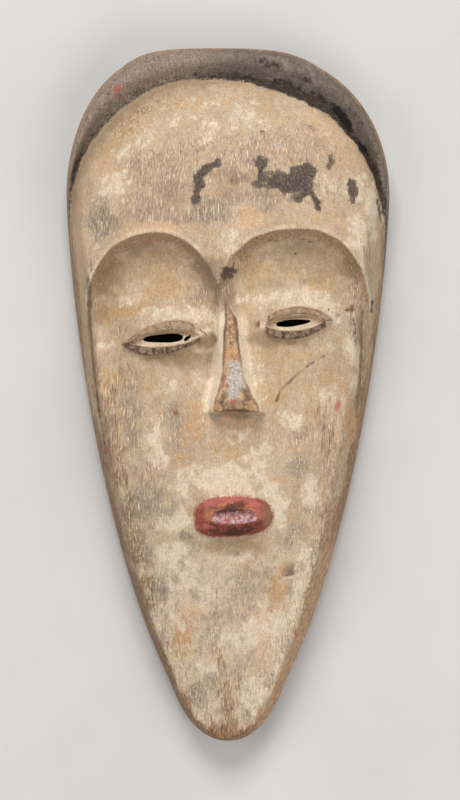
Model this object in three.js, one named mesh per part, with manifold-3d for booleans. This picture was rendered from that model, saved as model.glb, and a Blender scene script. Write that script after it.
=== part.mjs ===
// Miniature face mask, carved from one piece of wood and hollowed behind.
// Millimetres. It lies on its back rim, face up (+Z), with the crown towards +Y.
// Left and right in the names are those of someone looking at the face.

import * as THREE from "three";
import { mergeVertices } from "three/addons/utils/BufferGeometryUtils.js";
import Module from "manifold-3d";

const wasm = await Module();
wasm.setup();

// Outline, seen from the front
const HALF_LENGTH = 100;
const HALF_WIDTH = 46.6;
const WIDEST_Y = 57;
const CROWN_CURVE = { power: 2, fall: 0.35, fuller: 0.045, fullerFrom: 0.85 };
const CHIN_CURVE = { power: 1.5, fall: 0.567, fuller: 0.075, fullerFrom: 0.86 };
const CROWN_LEAN = { from: 55, shift: -3.2 };

// Upright edge round the outline
const EDGE = { chin: 6, rise: 6, from: 20, to: 90 };

// Head: the height of its middle line, and how it falls away to the sides
const CHIN_HEIGHT = 17.5;
const CHEEKS = { rise: 13.5, from: -108, to: 0 };
const FOREHEAD = { rise: 8, from: -15, to: 62 };
const SIDE_DROP = { share: 0.3, power: 2.8 };
const SIDE_PLANES = { leftSlope: 4.4, rightSlope: 3.3, blend: 2 };

// Crown: a domed forehead inside a raised band, with a groove between them
const GROOVE = { reach: 0.922, y: 92, leftSpread: 0.0018, rightSpread: 0.0009, most: 0.972 };
const GROOVE_FLOOR = { height: 12.2, rise: 4, from: 40, to: 88 };
const DOME = { height: 38.8, power: 3.6, fall: 0.66 };
const BAND = { drop: 0.5, rise: 2.1, riseEnd: 0.6, edgeDrop: 1.6, edgeFrom: 0.7 };
const CROWN_BLEND = { from: 36, to: 68, edgeRise: 6, edgeFrom: 40, edgeTo: 75, blend: 1 };

// Face, sunk below two brow arches that run on down its sides
const BROWS = [
  {
    x: -19.7, y: 20.5, height: 25.5,
    left: { width: 20.4, power: 2.4 }, right: { width: 18.5, power: 2 },
  },
  {
    x: 20.6, y: 21.3, height: 25.8,
    left: { width: 24.5, power: 2.4 }, right: { width: 20, power: 2.2 },
  },
];
const BROW_REACH = 24;
const FACE = { endY: -14, slope: 0.125, depth: 6, wall: 2, wallSlope: 2.2, leastRise: 2, cutBelow: 12 };
const SCOOP = { depth: 1.3, start: 2, at: 5.5, width: 4.2, from: 0, to: 26 };
const DRAW_IN_Y = 20;

// Eyes: lids round a recess, and a slit cut right through
const EYES = [
  {
    x: -17.9, y: 15.9, tilt: 5, width: 12.3,
    up: { height: 5.3, skew: 0.2 },
    down: { height: 4.1, skew: -0.2 },
    recess: { x: -17.6, y: 16.2, tilt: 5.5, width: 10, height: 2.2 },
    slit: { x: -18.35, y: 16.4, tilt: 3, width: 5.65, height: 1.25 },
  },
  {
    x: 19, y: 20.8, tilt: 4, width: 10.9,
    up: { height: 4.5, skew: 0.05 },
    down: { height: 4.6, skew: -0.1 },
    recess: { x: 18.9, y: 20.8, tilt: 5, width: 8.3, height: 2.3 },
    slit: { x: 18.6, y: 20.8, tilt: 5.8, width: 4.9, height: 0.95 },
  },
];
const LENS = { power: 2.2, fall: 0.9 };
const RECESS_LENS = { power: 2.4, fall: 0.8 };
const EYE_MOUND = { rise: 2.2, height: 7 };
const LID_RISE = 1.6;
const RECESS_DEPTH = 0.9;

// Nose: a narrow front plane that flares at the tip, between sloping sides
const NOSE = { rootY: 37, tipY: -4.3, rootHeight: 33.4, rise: 5.2, under: 22, undercut: 0.4, footDepth: 0.5 };
const NOSE_PLANE = { root: 0.5, widen: 3.2, power: 1.05, flare: 2.6, flareFrom: 0.74 };
const NOSE_ROOT = { pinch: 1.3, least: 0.1, sink: 1.1, from: 0.16, to: 0.42 };
const NOSE_SIDE = { width: 2.9, narrow: 1, narrowFrom: 0.8 };
const NOSE_LINE = { x: 0.5, drift: 0.6, hook: 1.4, hookPower: 4, lean: 4.6, leanTo: 0.38, leanPower: 1.3 };

// Mouth: a raised ring of lips round a shallow opening, on a low swell
const MOUTH = { x: 1.7, y: -34.1, tilt: 2.5, width: 11.3, height: 5.75, under: 15 };
const MOUTH_CURVE = { across: 0.85, up: 0.9 };
const LIP_RISE = 3.6;
const MOUTH_SWELL = { rise: 1.2, width: 18, height: 13 };

// Hollow back with a flat rim
const RIM = { side: 5.2, crown: 11, chin: 11 };
const HOLLOW = { wall: 7.5, power: 4, fall: 0.46, foreheadRise: 6, from: 38, to: 66 };

// Cutting solids run this far past the carving
const ABOVE = 60;
const BELOW = -2;

function clamp(t) {
  return Math.min(Math.max(t, 0), 1);
}

function smooth(from, to, t) {
  const s = clamp((t - from) / (to - from));
  return s * s * (3 - 2 * s);
}

function softMin(a, b, blend) {
  const h = clamp(0.5 + (b - a) / (2 * blend));
  return b + (a - b) * h - blend * h * (1 - h);
}

function bump(u, v) {
  return Math.exp(-(u ** 2) - v ** 2);
}

function signedPower(value, power) {
  return Math.sign(value) * Math.abs(value) ** power;
}

// Outline: half its width at a height up the face, and where its middle runs
function endCurve(shape, t) {
  const fall = shape.fall - shape.fuller * smooth(shape.fullerFrom, 1, t);
  return (1 - t ** shape.power) ** fall;
}

function halfWidth(y) {
  const up = clamp((y - WIDEST_Y) / (HALF_LENGTH - WIDEST_Y));
  const down = clamp((WIDEST_Y - y) / (HALF_LENGTH + WIDEST_Y));
  return HALF_WIDTH * endCurve(CROWN_CURVE, up) * endCurve(CHIN_CURVE, down);
}

function middle(y) {
  const up = Math.max(y - CROWN_LEAN.from, 0) / (HALF_LENGTH - CROWN_LEAN.from);
  return CROWN_LEAN.shift * up ** 3;
}

// The reach of a point is 0 in the middle of the face and 1 on the outline
function pointAt(reach, angle) {
  const v = reach * Math.sin(angle);
  const across = (reach * Math.cos(angle)) / Math.max(Math.sqrt(1 - v * v), 1e-6);
  const y = HALF_LENGTH * v;
  return { x: middle(y) + halfWidth(y) * THREE.MathUtils.clamp(across, -1, 1), y };
}

function reachOf(x, y) {
  const v = y / HALF_LENGTH;
  const across = (x - middle(y)) / Math.max(halfWidth(y), 1e-6);
  return Math.sqrt(clamp(v * v + across * across * (1 - v * v)));
}

function inset(x, y) {
  const lean = halfWidth(y + 0.5) - halfWidth(y - 0.5);
  return Math.max(halfWidth(y) - Math.abs(x - middle(y)), 0) / Math.sqrt(1 + lean * lean);
}

// Head before the face is sunk: chin, cheeks and forehead, with planes cut along the sides
function cheekLine(y) {
  return CHIN_HEIGHT + CHEEKS.rise * smooth(CHEEKS.from, CHEEKS.to, y);
}

function grooveReach(x, y) {
  const spread = x < middle(y) ? GROOVE.leftSpread : GROOVE.rightSpread;
  return Math.min(GROOVE.reach + spread * (GROOVE.y - y), GROOVE.most);
}

function crownHeight(x, y, reach) {
  const groove = grooveReach(x, y);
  const floor = GROOVE_FLOOR.height + GROOVE_FLOOR.rise * smooth(GROOVE_FLOOR.from, GROOVE_FLOOR.to, y);
  if (reach < groove) {
    const share = (1 - (reach / groove) ** DOME.power) ** DOME.fall;
    return floor + (DOME.height - floor) * share;
  }
  const across = clamp((reach - groove) / (1 - groove));
  const edge = BAND.edgeDrop * smooth(BAND.edgeFrom, 1, across);
  return floor - BAND.drop + BAND.rise * smooth(0, BAND.riseEnd, across) - edge;
}

function head(x, y) {
  const reach = reachOf(x, y);
  const slope = x < 0 ? SIDE_PLANES.leftSlope : SIDE_PLANES.rightSlope;
  const side = EDGE.chin + EDGE.rise * smooth(EDGE.from, EDGE.to, y) + slope * inset(x, y);
  const line = cheekLine(y) + FOREHEAD.rise * smooth(FOREHEAD.from, FOREHEAD.to, y);
  const nearMouth = bump((x - MOUTH.x) / MOUTH_SWELL.width, (y - MOUTH.y) / MOUTH_SWELL.height);
  const front = line * (1 - SIDE_DROP.share * reach ** SIDE_DROP.power);
  const lower = softMin(front + MOUTH_SWELL.rise * nearMouth, side, SIDE_PLANES.blend);
  const edgeRise = CROWN_BLEND.edgeRise * smooth(CROWN_BLEND.edgeFrom, CROWN_BLEND.edgeTo, y);
  const crown = softMin(crownHeight(x, y, reach), side + edgeRise, CROWN_BLEND.blend);
  return THREE.MathUtils.lerp(lower, crown, smooth(CROWN_BLEND.from, CROWN_BLEND.to, y));
}

// The sides of the sunk face draw in with the outline
function drawIn(y) {
  return halfWidth(Math.min(y, DRAW_IN_Y)) / halfWidth(DRAW_IN_Y);
}

function browDistance(brow, x, y) {
  const up = Math.max(y - brow.y, 0) / brow.height;
  const across = x / drawIn(y) - brow.x;
  const { width, power } = across < 0 ? brow.left : brow.right;
  return (1 - (up ** power + Math.abs(across / width) ** power) ** (1 / power)) * BROW_REACH;
}

// Depth of the face below the head; outside the arch it rises clear of the head
function sunk(brow, x, y) {
  const d = browDistance(brow, x, y);
  const depth = Math.min(FACE.slope * (y - FACE.endY), FACE.depth);
  if (d < 0) {
    return (Math.max(depth, FACE.leastRise) * FACE.wallSlope * d) / FACE.wall;
  }
  const under = Math.exp(-(((d - SCOOP.at) / SCOOP.width) ** 2)) * smooth(0, SCOOP.start, d);
  return depth * (1 - Math.exp(-d / FACE.wall)) + SCOOP.depth * smooth(SCOOP.from, SCOOP.to, y) * under;
}

// Measures from a tilted centre to a place on the face, and back
function toTilted(centre, x, y) {
  const turn = THREE.MathUtils.degToRad(centre.tilt);
  const u = (x - centre.x) * Math.cos(turn) + (y - centre.y) * Math.sin(turn);
  const v = (y - centre.y) * Math.cos(turn) - (x - centre.x) * Math.sin(turn);
  return [u, v];
}

function fromTilted(centre, u, v) {
  const turn = THREE.MathUtils.degToRad(centre.tilt);
  const x = centre.x + u * Math.cos(turn) - v * Math.sin(turn);
  const y = centre.y + u * Math.sin(turn) + v * Math.cos(turn);
  return { x, y };
}

function eyeMounds(x, y) {
  let rise = 0;
  for (const eye of EYES) {
    const [u, v] = toTilted(eye, x, y);
    rise += EYE_MOUND.rise * bump((u / eye.width) ** 2, v / EYE_MOUND.height);
  }
  return rise;
}

function face(x, y) {
  const depths = BROWS.map((brow) => sunk(brow, x, y));
  return head(x, y) - Math.max(...depths, 0) + eyeMounds(x, y);
}

// Solids: a turned disc or a box, whose points are then moved to their places
function solidFrom(shape, place) {
  shape.deleteAttribute("normal");
  shape.deleteAttribute("uv");
  const merged = mergeVertices(shape);
  const position = merged.attributes.position;
  for (let i = 0; i < position.count; i += 1) {
    const spot = place(position.getX(i), position.getY(i));
    position.setXYZ(i, spot.x, spot.y, position.getZ(i) > 0 ? spot.high : spot.low);
  }
  const corners = merged.index.array;
  const triangles = [];
  for (let i = 0; i < corners.length; i += 3) {
    const [a, b, c] = corners.slice(i, i + 3);
    if (a !== b && b !== c && c !== a) {
      triangles.push(a, b, c);
    }
  }
  const vertProperties = new Float32Array(position.array);
  const triVerts = new Uint32Array(triangles);
  return new wasm.Manifold(new wasm.Mesh({ numProp: 3, vertProperties, triVerts }));
}

// place takes a ring number, from 0 in the middle, and an angle
function disc(columns, rings, place) {
  const profile = [];
  for (let ring = 0; ring <= rings; ring += 1) {
    profile.push(new THREE.Vector2(ring, -1));
  }
  for (let ring = rings; ring >= 0; ring -= 1) {
    profile.push(new THREE.Vector2(ring, 1));
  }
  const turned = new THREE.LatheGeometry(profile, columns);
  turned.rotateX(Math.PI / 2);
  return solidFrom(turned, (x, y) => place(Math.round(Math.hypot(x, y)), Math.atan2(y, x)));
}

const HEAD_COLUMNS = 96;
// Rings run from the middle to the groove (1) and on across the band to the outline (2)
const HEAD_RINGS = [0, 0.15, 0.3, 0.44, 0.56, 0.66, 0.75, 0.83, 0.89, 0.94, 0.98, 1, 1.3, 1.7, 1.9, 2];

function headSolid() {
  return disc(HEAD_COLUMNS, HEAD_RINGS.length - 1, (ring, angle) => {
    const across = Math.max(HEAD_RINGS[ring] - 1, 0);
    const edge = pointAt(GROOVE.reach, angle);
    const groove = grooveReach(edge.x, edge.y);
    const reach = groove * Math.min(HEAD_RINGS[ring], 1) + (1 - groove) * across;
    const { x, y } = pointAt(reach, angle);
    return { x, y, low: 0, high: head(x, y) };
  });
}

// What is cut away to sink the face below one brow arch
const BROW_COLUMNS = 48;
const BROW_RINGS = [0, 0.2, 0.4, 0.58, 0.72, 0.83, 0.9, 0.95, 1, 1.06];
const LEG_POWER = 9;

function browCut(brow) {
  return disc(BROW_COLUMNS, BROW_RINGS.length - 1, (ring, angle) => {
    const above = Math.sin(angle) > 0;
    const { width, power } = Math.cos(angle) < 0 ? brow.left : brow.right;
    const share = 2 / (above ? power : LEG_POWER);
    const height = above ? brow.height : brow.y - FACE.endY + FACE.cutBelow;
    const y = brow.y + BROW_RINGS[ring] * height * signedPower(Math.sin(angle), share);
    const across = BROW_RINGS[ring] * width * signedPower(Math.cos(angle), share);
    const x = (brow.x + across) * drawIn(y);
    return { x, y, low: head(x, y) - sunk(brow, x, y) + eyeMounds(x, y), high: ABOVE };
  });
}

// Eyes: rings run from the middle to the recess's edge (1) and on to the lids' outer edge (2)
const EYE_COLUMNS = 32;
const EYE_RINGS = [
  { share: 0, lift: -RECESS_DEPTH },
  { share: 1, lift: -RECESS_DEPTH },
  { share: 1.06, lift: LID_RISE },
  { share: 1.5, lift: LID_RISE + 0.1 },
  { share: 1.88, lift: LID_RISE - 0.3 },
  { share: 2, lift: -1 },
];

function lidEdge(eye, angle) {
  const u = Math.cos(angle);
  const lid = Math.sin(angle) > 0 ? eye.up : eye.down;
  const lens = (1 - clamp(Math.abs(u - lid.skew * (1 - u * u))) ** LENS.power) ** LENS.fall;
  return fromTilted(eye, u * eye.width, lens * Math.sign(Math.sin(angle)) * lid.height);
}

function recessEdge(eye, angle) {
  const u = Math.cos(angle);
  const lens = (1 - Math.abs(u) ** RECESS_LENS.power) ** RECESS_LENS.fall;
  const v = lens * Math.sign(Math.sin(angle)) * eye.recess.height;
  return fromTilted(eye.recess, u * eye.recess.width, v);
}

function between(a, b, share) {
  return { x: THREE.MathUtils.lerp(a.x, b.x, share), y: THREE.MathUtils.lerp(a.y, b.y, share) };
}

function recessCut(eye) {
  return disc(EYE_COLUMNS, 1, (ring, angle) => {
    const { x, y } = between(eye.recess, recessEdge(eye, angle), ring);
    return { x, y, low: face(x, y) - RECESS_DEPTH, high: ABOVE };
  });
}

function lidSolid(eye) {
  return disc(EYE_COLUMNS, EYE_RINGS.length - 1, (ring, angle) => {
    const { share, lift } = EYE_RINGS[ring];
    const inner = between(eye.recess, recessEdge(eye, angle), Math.min(share, 1));
    const { x, y } = between(inner, lidEdge(eye, angle), clamp(share - 1));
    return { x, y, low: NOSE.under, high: face(x, y) + lift };
  });
}

function slitCut(eye) {
  const { width, height } = eye.slit;
  return disc(EYE_COLUMNS, 1, (ring, angle) => {
    const edge = fromTilted(eye.slit, ring * width * Math.cos(angle), ring * height * Math.sin(angle));
    return { ...edge, low: BELOW, high: ABOVE };
  });
}

// Nose: stations from root (0) to tip (1), each with a flat front and two feet on the face
const NOSE_STATIONS = 14;

function noseMiddle(t) {
  const lean = NOSE_LINE.lean * Math.max(1 - t / NOSE_LINE.leanTo, 0) ** NOSE_LINE.leanPower;
  return NOSE_LINE.x + NOSE_LINE.drift * t + NOSE_LINE.hook * t ** NOSE_LINE.hookPower - lean;
}

function noseFrame(t) {
  const flare = NOSE_PLANE.flare * smooth(NOSE_PLANE.flareFrom, 1, t);
  const wide = NOSE_PLANE.root + NOSE_PLANE.widen * t ** NOSE_PLANE.power + flare;
  const narrow = NOSE_SIDE.narrow * smooth(NOSE_SIDE.narrowFrom, 1, t);
  const upper = smooth(NOSE_ROOT.to, NOSE_ROOT.from, t);
  const plane = Math.max(wide - NOSE_ROOT.pinch * upper, NOSE_ROOT.least);
  const ridge = NOSE.rootHeight + NOSE.rise * t - NOSE_ROOT.sink * upper;
  return { plane, foot: wide + NOSE_SIDE.width - narrow, ridge };
}

function noseSolid() {
  const block = new THREE.BoxGeometry(3, NOSE_STATIONS, 1, 3, NOSE_STATIONS, 1);
  return solidFrom(block, (column, station) => {
    const t = clamp(0.5 - station / NOSE_STATIONS);
    const { plane, foot, ridge } = noseFrame(t);
    const isFoot = Math.abs(column) > 1;
    const x = noseMiddle(t) + Math.sign(column) * (isFoot ? foot : plane);
    const y = THREE.MathUtils.lerp(NOSE.rootY, NOSE.tipY, t) - (isFoot ? 0 : NOSE.undercut * t);
    return { x, y, low: NOSE.under, high: isFoot ? Math.min(face(x, y), ridge) - NOSE.footDepth : ridge };
  });
}

// Mouth: rings from the middle of the opening to the lips' outer edge, with their lift
const MOUTH_COLUMNS = 36;
const MOUTH_RINGS = [
  { width: 0, height: 0, lift: 0.35 },
  { width: 0.36, height: 0.27, lift: 0.35 },
  { width: 0.52, height: 0.48, lift: 0.86 },
  { width: 0.66, height: 0.66, lift: 0.9 },
  { width: 0.8, height: 0.8, lift: 0.76 },
  { width: 0.92, height: 0.92, lift: 0.45 },
  { width: 1, height: 1, lift: -0.3 },
];

function mouthSolid() {
  return disc(MOUTH_COLUMNS, MOUTH_RINGS.length - 1, (ring, angle) => {
    const { width, height, lift } = MOUTH_RINGS[ring];
    const u = signedPower(Math.cos(angle), MOUTH_CURVE.across) * MOUTH.width * width;
    const v = signedPower(Math.sin(angle), MOUTH_CURVE.up) * MOUTH.height * height;
    const { x, y } = fromTilted(MOUTH, u, v);
    return { x, y, low: MOUTH.under, high: face(x, y) + lift * LIP_RISE };
  });
}

// Hollow behind the face
const HOLLOW_COLUMNS = 48;
const HOLLOW_RINGS = [0, 0.25, 0.45, 0.62, 0.75, 0.85, 0.92, 0.97, 1];

function hollowCut() {
  return disc(HOLLOW_COLUMNS, HOLLOW_RINGS.length - 1, (ring, angle) => {
    const spot = pointAt(HOLLOW_RINGS[ring], angle);
    const rim = spot.y > 0 ? RIM.crown : RIM.chin;
    const x = spot.x * (1 - RIM.side / HALF_WIDTH);
    const y = spot.y * (1 - rim / HALF_LENGTH);
    const roof = cheekLine(y) + HOLLOW.foreheadRise * smooth(HOLLOW.from, HOLLOW.to, y) - HOLLOW.wall;
    const share = (1 - HOLLOW_RINGS[ring] ** HOLLOW.power) ** HOLLOW.fall;
    return { x, y, low: BELOW, high: roof * share };
  });
}

function carve() {
  let wood = headSolid();
  for (const brow of BROWS) {
    wood = wood.subtract(browCut(brow));
  }
  wood = wood.add(noseSolid()).add(mouthSolid());
  for (const eye of EYES) {
    wood = wood.subtract(recessCut(eye)).add(lidSolid(eye));
  }
  wood = wood.subtract(hollowCut());
  for (const eye of EYES) {
    wood = wood.subtract(slitCut(eye));
  }
  const cut = wood.getMesh();
  const geometry = new THREE.BufferGeometry();
  geometry.setAttribute("position", new THREE.BufferAttribute(cut.vertProperties, 3));
  geometry.setIndex(new THREE.BufferAttribute(cut.triVerts, 1));
  geometry.computeVertexNormals();
  return geometry;
}

const paintedWood = new THREE.MeshStandardMaterial({ color: 0xcdb48c, roughness: 0.85 });
const mask = new THREE.Mesh(carve(), paintedWood);
mask.name = "mask";

const part = new THREE.Group();
part.add(mask);

export default part;
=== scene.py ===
"""Small carved face mask: hand-cut wood under worn clay paint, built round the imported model."""

import math

import bmesh
import bpy
import numpy as np
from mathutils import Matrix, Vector


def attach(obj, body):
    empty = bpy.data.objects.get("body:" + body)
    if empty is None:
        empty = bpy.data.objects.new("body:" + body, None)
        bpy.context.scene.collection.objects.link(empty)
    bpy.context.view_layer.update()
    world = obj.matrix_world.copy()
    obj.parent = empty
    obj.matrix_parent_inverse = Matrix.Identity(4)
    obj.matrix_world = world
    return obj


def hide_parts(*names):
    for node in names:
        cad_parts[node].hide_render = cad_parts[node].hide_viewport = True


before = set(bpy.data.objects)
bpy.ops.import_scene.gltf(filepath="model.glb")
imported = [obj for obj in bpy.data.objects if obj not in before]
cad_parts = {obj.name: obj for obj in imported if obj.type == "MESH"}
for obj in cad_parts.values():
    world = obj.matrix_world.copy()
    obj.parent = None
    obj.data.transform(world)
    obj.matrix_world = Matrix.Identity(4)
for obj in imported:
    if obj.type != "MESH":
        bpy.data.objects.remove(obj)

bl_info = {
    "name": "Carved mask",
    "version": (1, 0, 0),
    "blender": (4, 5, 0),
    "location": "3D View > Sidebar > Mask",
    "description": "Builds a small carved and painted face mask and its stage",
    "category": "Object",
}

# Everything about the carving is in millimetres, in the frame's axes: X to the right of someone
# looking at the face, Y to the crown, Z out of the face. Points are numpy arrays x and y.
MM = 0.001
PIECE = "carved_mask"
NODE = "mask"
SLOT = "painted_wood"

# Outline, seen from the front
HALF_LENGTH = 100
HALF_WIDTH = 46.6
WIDEST_Y = 57
CROWN_CURVE = {"power": 2, "fall": 0.35, "fuller": 0.045, "fuller_from": 0.85}
CHIN_CURVE = {"power": 1.5, "fall": 0.567, "fuller": 0.075, "fuller_from": 0.86}
CROWN_LEAN = {"from": 55, "shift": -3.2}

# Upright edge round the outline
EDGE = {"chin": 6, "rise": 6, "from": 20, "to": 90}

# Head: the height of its middle line, and how it falls away to the sides
CHIN_HEIGHT = 17.5
CHEEKS = {"rise": 13.5, "from": -108, "to": 0}
FOREHEAD = {"rise": 8, "from": -15, "to": 62}
SIDE_DROP = {"share": 0.3, "power": 2.8}
SIDE_PLANES = {"left_slope": 4.4, "right_slope": 3.3, "blend": 2}

# Crown: a domed forehead inside a raised band, with a groove between them
GROOVE = {"reach": 0.922, "y": 92, "left_spread": 0.0018, "right_spread": 0.0009, "most": 0.972}
GROOVE_FLOOR = {"height": 12.2, "rise": 4, "from": 40, "to": 88}
DOME = {"height": 38.8, "power": 3.6, "fall": 0.66}
BAND = {"drop": 0.5, "rise": 2.1, "rise_end": 0.6, "edge_drop": 1.6, "edge_from": 0.7}
CROWN_BLEND = {"from": 36, "to": 68, "edge_rise": 6, "edge_from": 40, "edge_to": 75, "edge_blend": 1}

# Face, sunk below two brow arches
BROWS = (
    {
        "x": -19.7, "y": 20.5, "height": 25.5,
        "left": {"width": 20.4, "power": 2.4}, "right": {"width": 18.5, "power": 2},
    },
    {
        "x": 20.6, "y": 21.3, "height": 25.8,
        "left": {"width": 24.5, "power": 2.4}, "right": {"width": 20, "power": 2.2},
    },
)
BROW_REACH = 24
FACE = {"end_y": -14, "slope": 0.125, "depth": 6, "wall": 2}
SCOOP = {"depth": 1.3, "at": 5.5, "width": 4.2, "from": 0, "to": 26, "from_wall": 2}
DRAW_IN = {"y": 20, "least": 0.1}

# Eyes: lids round a recess, and a slit cut right through
EYES = (
    {
        "x": -17.9, "y": 15.9, "tilt": 5, "width": 12.3,
        "up": {"height": 5.3, "skew": 0.2, "from": -1.1, "to": 0.7},
        "down": {"height": 4.1, "skew": -0.2, "from": -1.1, "to": 0.82},
        "recess": {"x": -17.6, "y": 16.2, "tilt": 5.5, "width": 10, "height": 2.2},
        "slit": {
            "x": -18.35, "y": 16.4, "tilt": 3, "width": 5.65, "height": 1.25, "fuller": 0.18, "seed": 83,
        },
        "notches": (-0.62, -0.25, 0.05, 0.5),
    },
    {
        "x": 19, "y": 20.8, "tilt": 4, "width": 10.9,
        "up": {"height": 4.5, "skew": 0.05, "from": -0.7, "to": 0.98},
        "down": {"height": 4.6, "skew": -0.1, "from": -0.77, "to": 0.8},
        "recess": {"x": 18.9, "y": 20.8, "tilt": 5, "width": 8.3, "height": 2.3},
        "slit": {
            "x": 18.6, "y": 20.8, "tilt": 5.8, "width": 4.9, "height": 0.95, "fuller": -0.35, "seed": 84,
        },
        "notches": (-0.3, 0.42, 0.7),
    },
)
LENS = {"power": 2.2, "fall": 0.9}
RECESS_LENS = {"power": 2.4, "fall": 0.8}
EYE_MOUND = {"rise": 2.2, "height": 7}
LID_RISE = 1.6
RECESS_DEPTH = 0.9
LID_EDGES = {
    "outer": (0.3, -0.3), "middle": (-0.25, 0.05), "corner": (1.01, 0.97), "end": 0.04,
    "ring": (-0.15, 0.25), "recess": (0.1, -0.6), "past_recess": 0.4, "recess_waver": 0.5,
}
NOTCH = {"width": 0.28, "depth": 0.8, "lean": 0.08}

# A tiny second opening at the inner end of the left slit
SLIT_CORNER = {"x": -11.4, "y": 16.5, "tilt": 38, "width": 1.25, "height": 0.5, "fuller": -0.3, "seed": 89}
SLIT_POWER = 0.8
SLIT_WAVER = {"share": 0.12, "width": 1.8, "height": 9}

# Nose: a narrow front plane that flares at the tip, between sloping sides
NOSE = {"root_y": 37, "tip_y": -4.3, "root_height": 33.4, "rise": 5.2, "bow": 0.5}
NOSE_END = {"under_run": 1.8, "buried": 2}
NOSE_PLANE = {"root": 0.5, "widen": 3.2, "power": 1.05, "flare": 2.6, "flare_from": 0.74}
NOSE_ROOT = {"pinch": 1.3, "least": 0.1, "sink": 1.1, "from": 0.16, "to": 0.42}
NOSE_SIDE = {
    "width": 3.3, "narrow": 1.2, "narrow_from": 0.8, "hollow": 1.7, "sink": 0.3, "beyond": 2, "blend": 1,
}
NOSE_WEAR = {"depth": 0.35, "width": 0.5}
NOSE_LINE = {"x": 0.5, "drift": 0.6, "hook": 1.4, "lean": 4.6, "lean_to": 0.38, "lean_power": 1.3}

# Mouth: a raised ring of lips round a shallow opening, on a low swell
MOUTH = {
    "x": 1.7, "y": -34.1, "tilt": 2.5, "width": 11.3, "height": 5.75, "left_power": 3.6, "right_power": 2.5,
}
LIPS = {"rise": 3.6, "power": 3.2, "fall": 0.62}
MOUTH_SWELL = {"rise": 1.2, "width": 18, "height": 13}
MOUTH_HOLE = {
    "width": 0.56, "height": 0.35, "power": 3.2, "depth": 1.5, "top_depth": 0.9, "edge": (1.1, 0.7),
}

# Hollow back with a flat rim
RIM = {"side": 5.2, "crown": 11, "chin": 11}
HOLLOW = {"wall": 7.5, "power": 4, "fall": 0.46, "forehead_rise": 6, "from": 38, "to": 66}

# Damage: a long scratch on the right cheek, a chip below the mouth and cuts beside the right eye
SCRATCH = {"width": 0.32, "depth": (0.2, 0.5), "fade": (30, 18)}
SCRATCH_LINE = ((13.7, -1.4), (14.8, 1.4), (18.2, 4.7), (21.5, 7.7), (27.2, 11.3))
CHIP = {"x": 17.4, "y": -49.4, "width": 1.7, "height": 2, "depth": (0.18, 0.6)}
CHIP_CORNER = {"cut": 0.35, "up": 0.8, "across": 0.7}
CHIP_EDGE = (1.15, 0.8)
EYE_CUT = {"width": 0.3, "height": 1.2, "lean": 0.15, "depth": 0.5}
EYE_CUTS = ((7.6, 20.4), (8.6, 20.6), (9.8, 21.4), (31, 23.4))
CORNER_LINE = {"start": (-8, 18.9), "end": (-4.6, 16.9), "width": 0.35, "depth": 0.3}

# Tool marks: blade cuts on the front, calmer below the brows, and gouge cuts in the hollow
BLADE_CUTS = {"width": 8, "height": 13, "seed": 53, "middle": 0.4, "calm": 0.7, "calm_by": 3}
GOUGE_CUTS = {"width": 6, "height": 9, "seed": 61, "middle": 0.5, "rim": (1, 0.9)}
WORN_EDGE = {"depth": 0.7, "width": 0.5}
CUT_PLACE = (0.1, 0.9)

# Unevenness of forms and of the paint's edges, as layers of noise: depth, width, height and seed of each
WAVERS = {
    "brows": ((0.18, 3.5, 3.5, 11),),
    "lid edges": ((0.12, 1.6, 1.6, 23),),
    "lid tops": ((0.12, 2.2, 2.2, 29),),
    "nose": ((0.1, 2, 3, 31),),
    "lips": ((0.035, 1.7, 1.7, 37),),
    "mouth": ((0.08, 1.5, 1.5, 41),),
    "scratch": ((0.22, 1.1, 1.1, 43),),
    "chip": ((0.2, 1.1, 1.1, 47),),
    "blade": ((0.6, 5, 9, 59),),
    "paint": ((0.8, 4.5, 4.5, 70), (1, 2.2, 2.2, 71), (0.6, 1, 1, 73)),
    "paint across": ((1.4, 5, 6, 74), (0.6, 1.8, 2.2, 75)),
    "paint along": ((1.6, 5, 6, 76), (0.8, 1.8, 2.2, 77)),
    "scratch paint": ((0.45, 1.4, 1.4, 85),),
    "bare sides": ((1.1, 2.4, 13, 79), (0.5, 1.2, 5, 80)),
    "worn arches": ((0.3, 3, 3, 78),),
    "nose paint": ((0.22, 1.3, 2.6, 87),),
    "nose edges": ((0.5, 1.2, 2.4, 86),),
}
NOISE_CELLS = 61

# Numbers of the mesh
TINY = 1e-6
SQUARE = 1
# Heights of the wall's rows, as shares of the height of the front's edge
WALL_STEPS = (0.94, 0.8, 0.55, 0.28, 0.08, 0)
SLIT_POINTS = 56
SLIT_TOP = 45
SLIT_BOTTOM = 2
SHARP_ANGLE = math.radians(48)

# The hollow is lifted while its rim is joined to the wall's, because two rims in one plane can join twisted
JOIN_LIFT = (0, 0, 5 * MM)

# Where the mesh is finer: margins round the carved details, and boxes as x, y, half width, half height
FINE_BROWS = {"at": 0.6, "within": 2, "above": -5}
FINE_EYES = {"side": 1.2, "height": 6.6}
FINE_NOSE = {"side": 1, "above": 1, "below": 2}
FINE_MOUTH = 1.15
FINE_SCRATCH = 1.8
FINE_BOXES = ((17.4, -49.4, 2.7, 3), (16.5, 60, 11, 8), (-6.8, 60.4, 4.4, 6.6))


def linear(red, green, blue):
    """A colour on the 0 to 255 display scale as the linear one that shaders take."""
    shares = (value / 255 for value in (red, green, blue))
    return tuple(s / 12.92 if s <= 0.04045 else ((s + 0.055) / 1.055) ** 2.4 for s in shares)


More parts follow.
